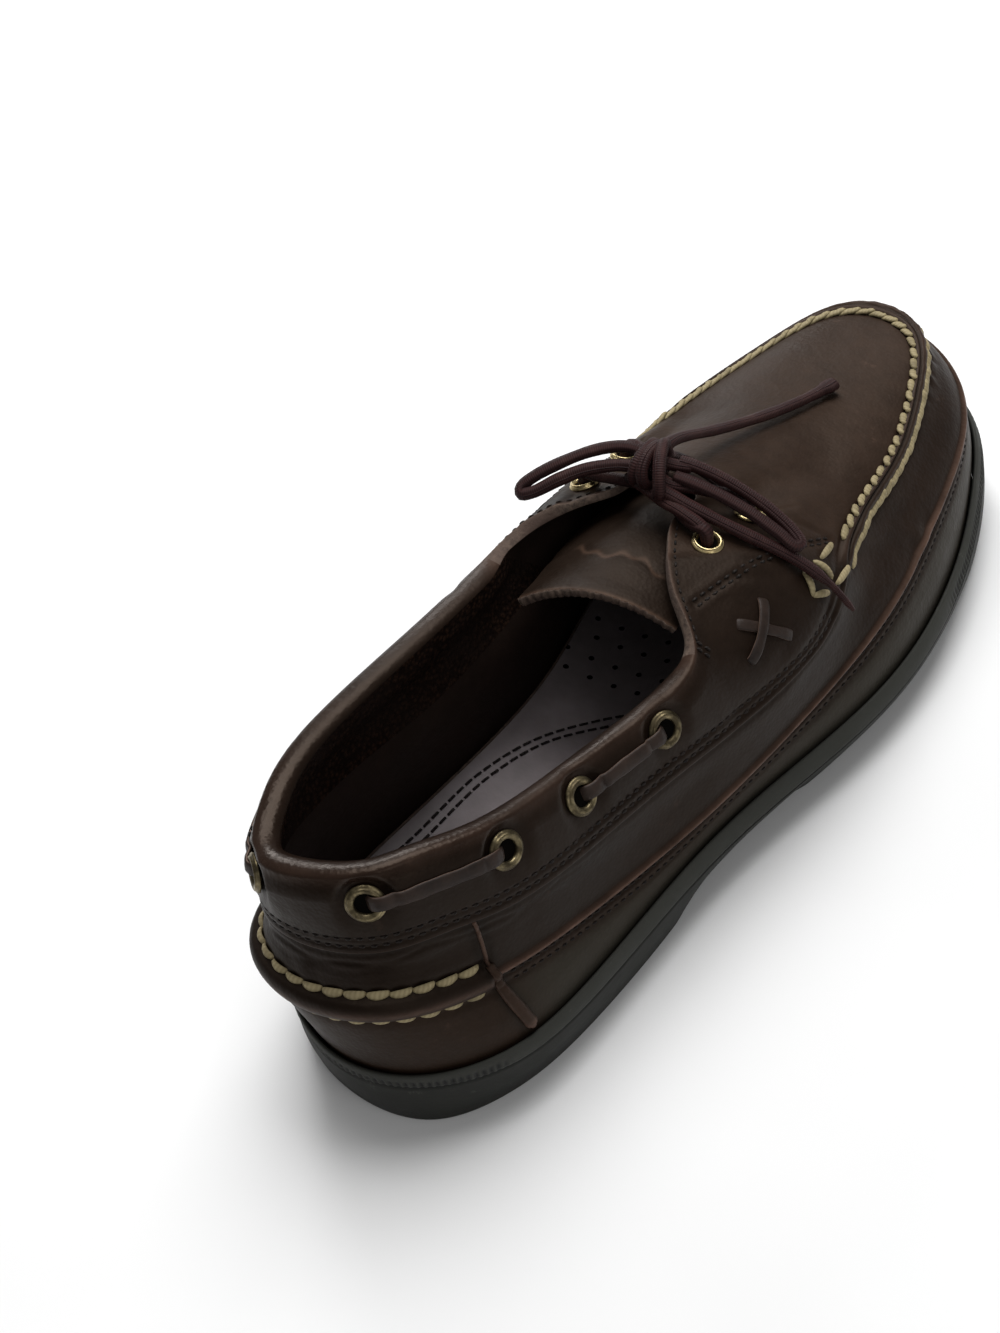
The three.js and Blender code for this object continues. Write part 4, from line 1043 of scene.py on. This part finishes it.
# Short bars of cream thread square off each end of the moc seam.
BARS = [
    [(6.88, 3.24), (6.66, 3.36)],
    [(6.61, 3.45), (6.48, 3.20)],
    [(6.66, 3.02), (6.44, 3.14)],
    [(6.46, 3.56), (6.24, 3.41)],
    [(6.24, 3.41), (6.33, 3.22)],
]
bars = [stitch(*along_line(side, 0.8)[:2], 2.1, 1.5, 0.8, 10) for line in BARS for side in both_sides(line)]
threads("moc_corner_bars", bars, cream_look, "lace_cotton")

# ---- rawhide

SIDES = (("outer", lambda place: place), ("inner", other_side))


def strip(path, up, width, thick):
    """Flat strip with rounded edges."""
    def size(run, angle):
        square = (np.abs(np.cos(angle)) ** 4 + np.abs(np.sin(angle)) ** 4) ** -0.25
        wobble = 1 + 0.04 * np.sin(run / 2.3) + 0.03 * np.sin(run / 1.1)
        return width / 2 * square * wobble, thick / 2 * square
    return tube(path, size, 14, up)


def rawhide(start, end):
    """Strip between two eyelets: out of one, over its flange, along the leather and into the next."""
    steps = [(0.5, -1.7), (0.7, -0.2), (1.5, 1.1), (3.0, 2.0), (5.0, 2.1), (7.5, 1.5)]
    reach = float(norm(surface(*end) - surface(*start)))
    plan = [(d / reach, h) for d, h in steps] + [(0.35, 1.2), (0.5, 1.3), (0.65, 1.2)]
    plan += [(1 - d / reach, h) for d, h in steps[::-1]]
    knots = np.linspace(0, len(plan) - 1, 90)
    t, h = (np.interp(knots, range(len(plan)), column) for column in np.array(plan).T)
    kernel = np.array([1, 2, 3, 2, 1]) / 9
    h = np.concatenate([h[:2], np.convolve(h, kernel, "valid"), h[-2:]])
    u, v = mix(start[0], end[0], t), mix(start[1], end[1], t)
    base, normal = surface(u, v), outward(u, v)
    lying = relief(u, v, base)[0] + 0.5
    h = np.where(np.abs(t - 0.5) < 0.5 - 5.5 / reach, np.maximum(h, lying), h)
    return strip(base + normal * h[:, None], normal, 3.7, 1.2)


def tack(line, middle_lift):
    u, v, run = along_line(line, 0.4)
    lift = -0.8 + (0.8 + middle_lift) * np.clip(np.sin(np.pi * (run / run[-1])), 0, 1) ** 0.35
    normal = outward(u, v)
    return strip(skin(u, v) + normal * lift[:, None], normal, 2.9, 1.0)


for side, at in SIDES:
    for part, i, j in (("rear", 0, 1), ("front", 2, 3)):
        run_between = rawhide(at(COLLAR_EYELETS[i]), at(COLLAR_EYELETS[j]))
        threads(f"collar_strip_{side}_{part}", [run_between], strip_look, "rawhide", (f"collar_lacing_{side}_{part}",))
tacks = [tack([at(p) for p in line], lift) for _, at in SIDES for line, lift in ((TACK_UNDER, 0.55), (TACK_TOP, 1.35))]
threads("crossed_tacks", tacks, strip_look, "rawhide")


def side_tab(line):
    """Folded edge down the heel's side seam, and the thick rounded tab that ends it below the ridge."""
    u, v, _ = along_line(line, 0.5)
    base, normal = skin(u, v), outward(u, v)
    upper, lower = v > 2.02, (v < 2.2) & (v > 1.06)
    points, faces, _, _ = tube(base[upper] + normal[upper] * 0.1, (0.55, 0.5), 8, normal[upper])
    folded = points, faces, np.full(len(points), 0.75)
    t = np.linspace(0, 1, lower.sum())
    end = smooth((t - 0.93) / 0.07)
    size = mix(1.1, 1.8, smooth(t * 1.6)) * (1 - end * 0.55), mix(0.8, 1.35, smooth(t * 1.3)) * (1 - end * 0.5)
    points, faces, run, angle = tube(base[lower] + normal[lower] * 0.35, size, 16, normal[lower])
    worn = 0.25 * bell(np.sin(angle) - 1, 0.35) + 0.6 * bell(np.cos(angle) + 1, 0.25)
    worn = np.clip(worn + 0.7 * smooth((run / run.max() - 0.86) / 0.1), 0, 1)
    return [folded, (points, faces, worn)]


points, faces, worn = join([part for line in both_sides(TAB) for part in side_tab(line)])
mesh_piece("side_tabs", points, faces, skin_look, "leather", values={"wear": worn, "light": TAB_LIGHT + 0 * worn})

# ---- eyelets

COLLAR_RING, LACE_RING = (2.7, 5.1), (2.6, 4.4)       # radii of the bore and the flange
RING_TOP = 1.25


def turned(place, profile, sides=40):
    """A profile of radii and heights turned round an eyelet's axis."""
    profile = np.array(profile, float)
    n = outward(*place)
    a = np.cross([0, 0, 1.0], n)
    a /= norm(a)
    b = np.cross(n, a)
    angle = (np.arange(sides) * 2 * np.pi / sides)[:, None]
    r, h = profile[:, 0, None, None], profile[:, 1, None, None]
    points = surface(*place) + n * 0.15 + r * (np.cos(angle) * a + np.sin(angle) * b) + h * n
    return points.reshape(-1, 3), grid_faces(len(profile), sides, round_columns=True).tolist()


def eyelet(name, place, size, material, slot):
    """A rolled ring. Returns the dark disc of painted shade that fills its bore."""
    bore, flange = size
    mid = (bore + flange) / 2
    profile = [(bore, -2.0), (bore, 0.2), (bore + 0.12, 0.75), (bore + 0.45, 1.1), (mid - 0.2, RING_TOP + 0.08),
               (mid + 0.35, RING_TOP), (flange - 0.7, 0.95), (flange - 0.2, 0.6), (flange, 0.2),
               (flange - 0.1, -0.05), (flange - 0.6, -0.15)]
    points, faces = turned(place, smooth_path([(r, h, 0) for r, h in profile], 0.22)[:, :2])
    mesh_piece(name + "_ring", points, faces, material, slot, (name,))
    return turned(place, [(0.01, 0.12), (bore * 0.6, 0.12), (bore + 0.05, 0.16)], 32)


bore_shades = []
for side, at in SIDES:
    for kind, places, ring, look, slot in (("collar", COLLAR_EYELETS, COLLAR_RING, antique_look, "antique_brass"),
                                           ("lace", LACE_EYELETS, LACE_RING, bright_look, "bright_brass")):
        for i, place in enumerate(places):
            bore_shades.append(eyelet(f"{kind}_eyelet_{side}_{i + 1}", at(place), ring, look, slot))
mesh_piece("eyelet_bore_shade", *join(bore_shades), hole_shade_look, "leather")

# ---- lace through the eyelets, and the knot


def bar_route(place, rise, forward=0.0):
    """Out of one eyelet, over the throat and into the eyelet on the other side."""
    ends = []
    for p in (place, other_side(place)):
        base, n = surface(*p), outward(*p)
        inwards = np.array([np.sign(surface(*other_side(p))[0] - base[0]), 0, 0])
        ends.append([base + n * h + inwards * a for a, h in ((0, -2.4), (0.1, 1.2), (1.3, 4.3), (5.5, 4.7))])
    left, right = ends
    return [*left, (left[3] + right[3]) / 2 + np.array([0, forward, rise]), *right[::-1]]


def lace_tubes(name, routes, node, step=0.8):
    tubes = [lace_tube(smooth_path(route, step)) for route in routes]
    threads(name, tubes, cotton_look, "lace_cotton", (node,))


lace_tubes("lace_across_rear", [bar_route(LACE_EYELETS[0], 0.9, 4.0)], "lace_bar_rear")
lace_tubes("lace_across_front", [bar_route(LACE_EYELETS[1], 3)], "lace_bar_front")


def wrap(centre, half_y, half_z, x_shift, turns, start, lean):
    """Strand wound round the knot, which lies along X."""
    t = np.linspace(0, 1, 14)
    angle = 2 * np.pi * (start + turns * t)
    across, up = np.cos(angle), np.sin(angle)
    return centre + np.stack([x_shift * t + lean * up, half_y * across, half_z * up], -1)


def into_eyelet(route, place):
    """Carries a strand on from the knot into the outer eyelet at a place."""
    base, n = surface(*place), outward(*place)
    last = route[-1]
    hole = [base + n * h + (last - base) * a for a, h in ((0.14, 3.2), (0.03, 1.3), (0.0, -2.2))]
    return [*route, raised(mix(last, hole[0], 0.5), 0.8), *hole]


def from_knot(*steps):
    return [KNOT_CENTRE + step for step in steps]


knot_routes = [
    wrap(KNOT_CENTRE + [-4.6, 0, 0], 6.2, 4.4, 2.4, 1.05, 0.6, 0.8),
    wrap(KNOT_CENTRE + [-1.2, -0.2, 0.3], 6.4, 4.7, 2.0, 1.05, 0.55, -0.8),
    from_knot([-9, 3, 1.2], [-5, 1.8, 1.0], [0, 1.5, 0.6], [5, 3.2, -0.6], [8.4, 4.8, -1.2]),
    into_eyelet(from_knot([-8.6, -1.5, -2.2], [-4, -2, -1.6], [0, -1.5, -1.2], [6, -2.4, -2.2]), LACE_EYELETS[1]),
    into_eyelet(from_knot([-4, -4.5, -3.2], [1, -5.6, -3.4], [6.5, -6.8, -4.2]), LACE_EYELETS[0]),
    from_knot([-1.5, 7.0, 0.5], [0.5, 4.2, 4.6], [2.8, -0.5, 5.2], [5.2, -5.0, 3.0], [6.2, -7.4, -1.5],
              [4.5, -6.6, -4.2]),
]
lace_tubes("bow_knot", knot_routes, "lace_knot", 0.6)

# ---- tongue

TONGUE_ACROSS, TONGUE_ALONG = 90, 80
TONGUE_LENGTH, TONGUE_FOLD = 46, 17          # and how far its worn wavy fold is from its rear edge
TONGUE_EDGE = np.linspace(0.15, 0.85, 5)    # steps down its raw edge


def tongue_piece():
    table = np.array(TONGUE_ROWS, float)
    t = np.linspace(0, len(table) - 1, TONGUE_ALONG)
    outer, inner, middle, half, crown, drop = (np.interp(t, range(len(table)), c)[:, None] for c in table.T)
    s = np.linspace(-1, 1, TONGUE_ACROSS)
    x = middle + half * s
    y = inner + (outer - inner) * (s + 1) / 2
    distance = (t / (len(table) - 1))[:, None] * TONGUE_LENGTH
    fold = distance - TONGUE_FOLD - 1.2 * np.sin(s * 7)
    worn = 0.4 * bell(fold - 0.8 * np.sin(s * 19 + 1), 0.7) * smooth((0.75 - np.abs(s)) / 0.2)
    worn = worn + 0.45 * bell(distance, 1.1)
    dent = 0.35 * bell(fold, 1.6) + 0.25 * bell(distance - 8, 3)
    top = np.stack([x, y, crown - drop * s * s - dent], -1)
    tilt = np.arctan(2 * drop * s / half)
    top[0, :, 1] += (0.25 * np.sin(s * 61) + 0.2 * np.sin(s * 143 + 2)) * 0.8
    bottom = top + np.stack([-np.sin(tilt), 0 * tilt, -np.cos(tilt)], -1) * TONGUE_THICK
    edge = [mix(top[0], bottom[0], f) + np.array([0, -0.45 * math.sin(f * math.pi), 0]) for f in TONGUE_EDGE]
    grid = np.concatenate([top[::-1], edge, bottom])
    wear = np.concatenate([worn[::-1], np.ones((len(edge), len(s))), 0 * x])
    piece = mesh_piece("tongue_leather", grid, grid_faces(len(grid), len(s)), tongue_look, "leather", ("tongue",),
                       {"wear": np.clip(wear, 0, 1), "light": 1 + 0 * wear}, (edge_look,))
    first = np.repeat(np.arange(len(grid) - 1), len(s) - 1)
    raw = (first >= len(t) - 1) & (first < len(t) + len(edge))
    piece.data.polygons.foreach_set("material_index", raw.astype(np.int32))


tongue_piece()

# ---- insole


def insole_height(x, y, side):
    """Top of the insole; side is 0 in the middle and 1 at its edge."""
    swell = 0.35 * np.sin(y / 17 + x / 9) * smooth((1 - side) / 0.3)
    return floor_height(y) + INSOLE_THICK + INSOLE_RISE * side ** 4 + swell


def insole_piece():
    u = stations(INSIDE_COLUMNS)
    low, edge = (offset_ring(surface(u, v) - outward(u, v) * LEATHER, -INSOLE_GAP) for v in (0.02, 0.8))
    low[:, 2] = floor_height(low[:, 1]) + GAP
    edge[:, 2] = floor_height(edge[:, 1]) + INSOLE_THICK + INSOLE_RISE
    t, top = bridged(edge, 71)
    top[..., 2] = insole_height(top[..., 0], top[..., 1], np.abs(2 * t - 1))
    skirt = [mix(edge, low, f) for f in (0, 0.3, 1.0)]
    faces = [grid_faces(len(top), len(t)), grid_faces(3, len(u), round_columns=True, start=len(top) * len(t))]
    mesh_piece("insole_cover", np.concatenate([top.reshape(-1, 3), *skirt]), np.concatenate(faces), cover_look,
               "footbed", ("insole",))
    border = tube(raised(edge, 0.1), (0.45, 0.4), 6, ends=False)
    mesh_piece("insole_edge", *border[:2], edge_look, "footbed")
    return top


insole_top = insole_piece()


def on_insole(xy, raise_by):
    """Points on the insole's top at places x, y of the tables' frame."""
    x, y = np.asarray(xy, float).T
    left, right = (np.interp(y, insole_top[:, k, 1], insole_top[:, k, 0]) for k in (0, -1))
    side = np.clip(np.abs(2 * (x - left) / (right - left) - 1), 0, 1)
    return np.stack([x, y, insole_height(x, y, side) + raise_by], -1)


# A double line of stitches curves over the arch, and small holes lie in rows in front of it.
ARCH_LINE = [(-29, -100), (-26.6, -80.5), (-24.4, -52.8), (-18.5, -32.5), (-8.6, -17.1), (4, -5)]
insole_threads = []
for shift in (0.0, 2.6):
    turn_in = (0, 0, 0, 0, 0.6, 1)          # the second line closes in on the first at the front
    curve = smooth_path([(x + shift, y - d * shift, 0) for (x, y), d in zip(ARCH_LINE, turn_in)], 0.5)
    for k in range(0, len(curve) - 6, 7):
        path = on_insole(curve[k:k + 6, :2], 0.25)
        insole_threads.append(tube(path, (0.45, 0.3), 6, np.tile([0, 0, 1.0], (6, 1))))
threads("insole_stitches", insole_threads, dark_thread_look, "footbed")

# each small hole is a dark disc of painted shade on the insole's top
vents = []
angle = np.arange(12) * np.pi / 6
for i in range(5):
    for j in range(4):
        middle = np.array([-36 + 7.5 * i + 3.5 * (j % 2), -8 + 7.5 * j + 1.2 * i])
        circle = middle + 0.85 * np.stack([np.cos(angle), np.sin(angle)], -1)
        fan = [[0, 1 + k, 1 + (k + 1) % 12] for k in range(12)]
        vents.append((on_insole([middle, *circle], 0.42), fan))
mesh_piece("insole_hole_shade", *join(vents), hole_shade_look, "footbed")

# ---- floor and light

floor = bpy.data.objects.new("floor", bpy.data.meshes.new("floor"))
floor.data.from_pydata([(-4, -4, 0), (4, -4, 0), (4, 4, 0), (-4, 4, 0)], [], [(0, 1, 2, 3)])
floor.data.materials.append(plain_look("pale floor", (0.86, 0.86, 0.86), 0.7))
bpy.context.scene.collection.objects.link(floor)


def softbox(name, at, target, size, power):
    light = bpy.data.objects.new(name, bpy.data.lights.new(name, "AREA"))
    light.data.shape = "SQUARE"
    light.data.size = size
    light.data.energy = power
    light.location = at
    light.rotation_euler = (Vector(target) - Vector(at)).to_track_quat("-Z", "Y").to_euler()
    bpy.context.scene.collection.objects.link(light)


softbox("key", (-0.35, 0.6, 1.7), (0, 0, 0.03), 1.3, 38)
softbox("side", (1.5, -0.5, 1.3), (0, 0, 0.03), 1.2, 6)
softbox("window", (-1.25, 1.0, 0.72), (0, 0.02, 0.05), 0.45, 7)
world = bpy.data.worlds.new("studio")
world.use_nodes = True
world.node_tree.nodes["Background"].inputs["Color"].default_value = (1, 1, 1, 1)
world.node_tree.nodes["Background"].inputs["Strength"].default_value = 0.21
bpy.context.scene.world = world
bpy.context.scene.view_settings.view_transform = "Standard"
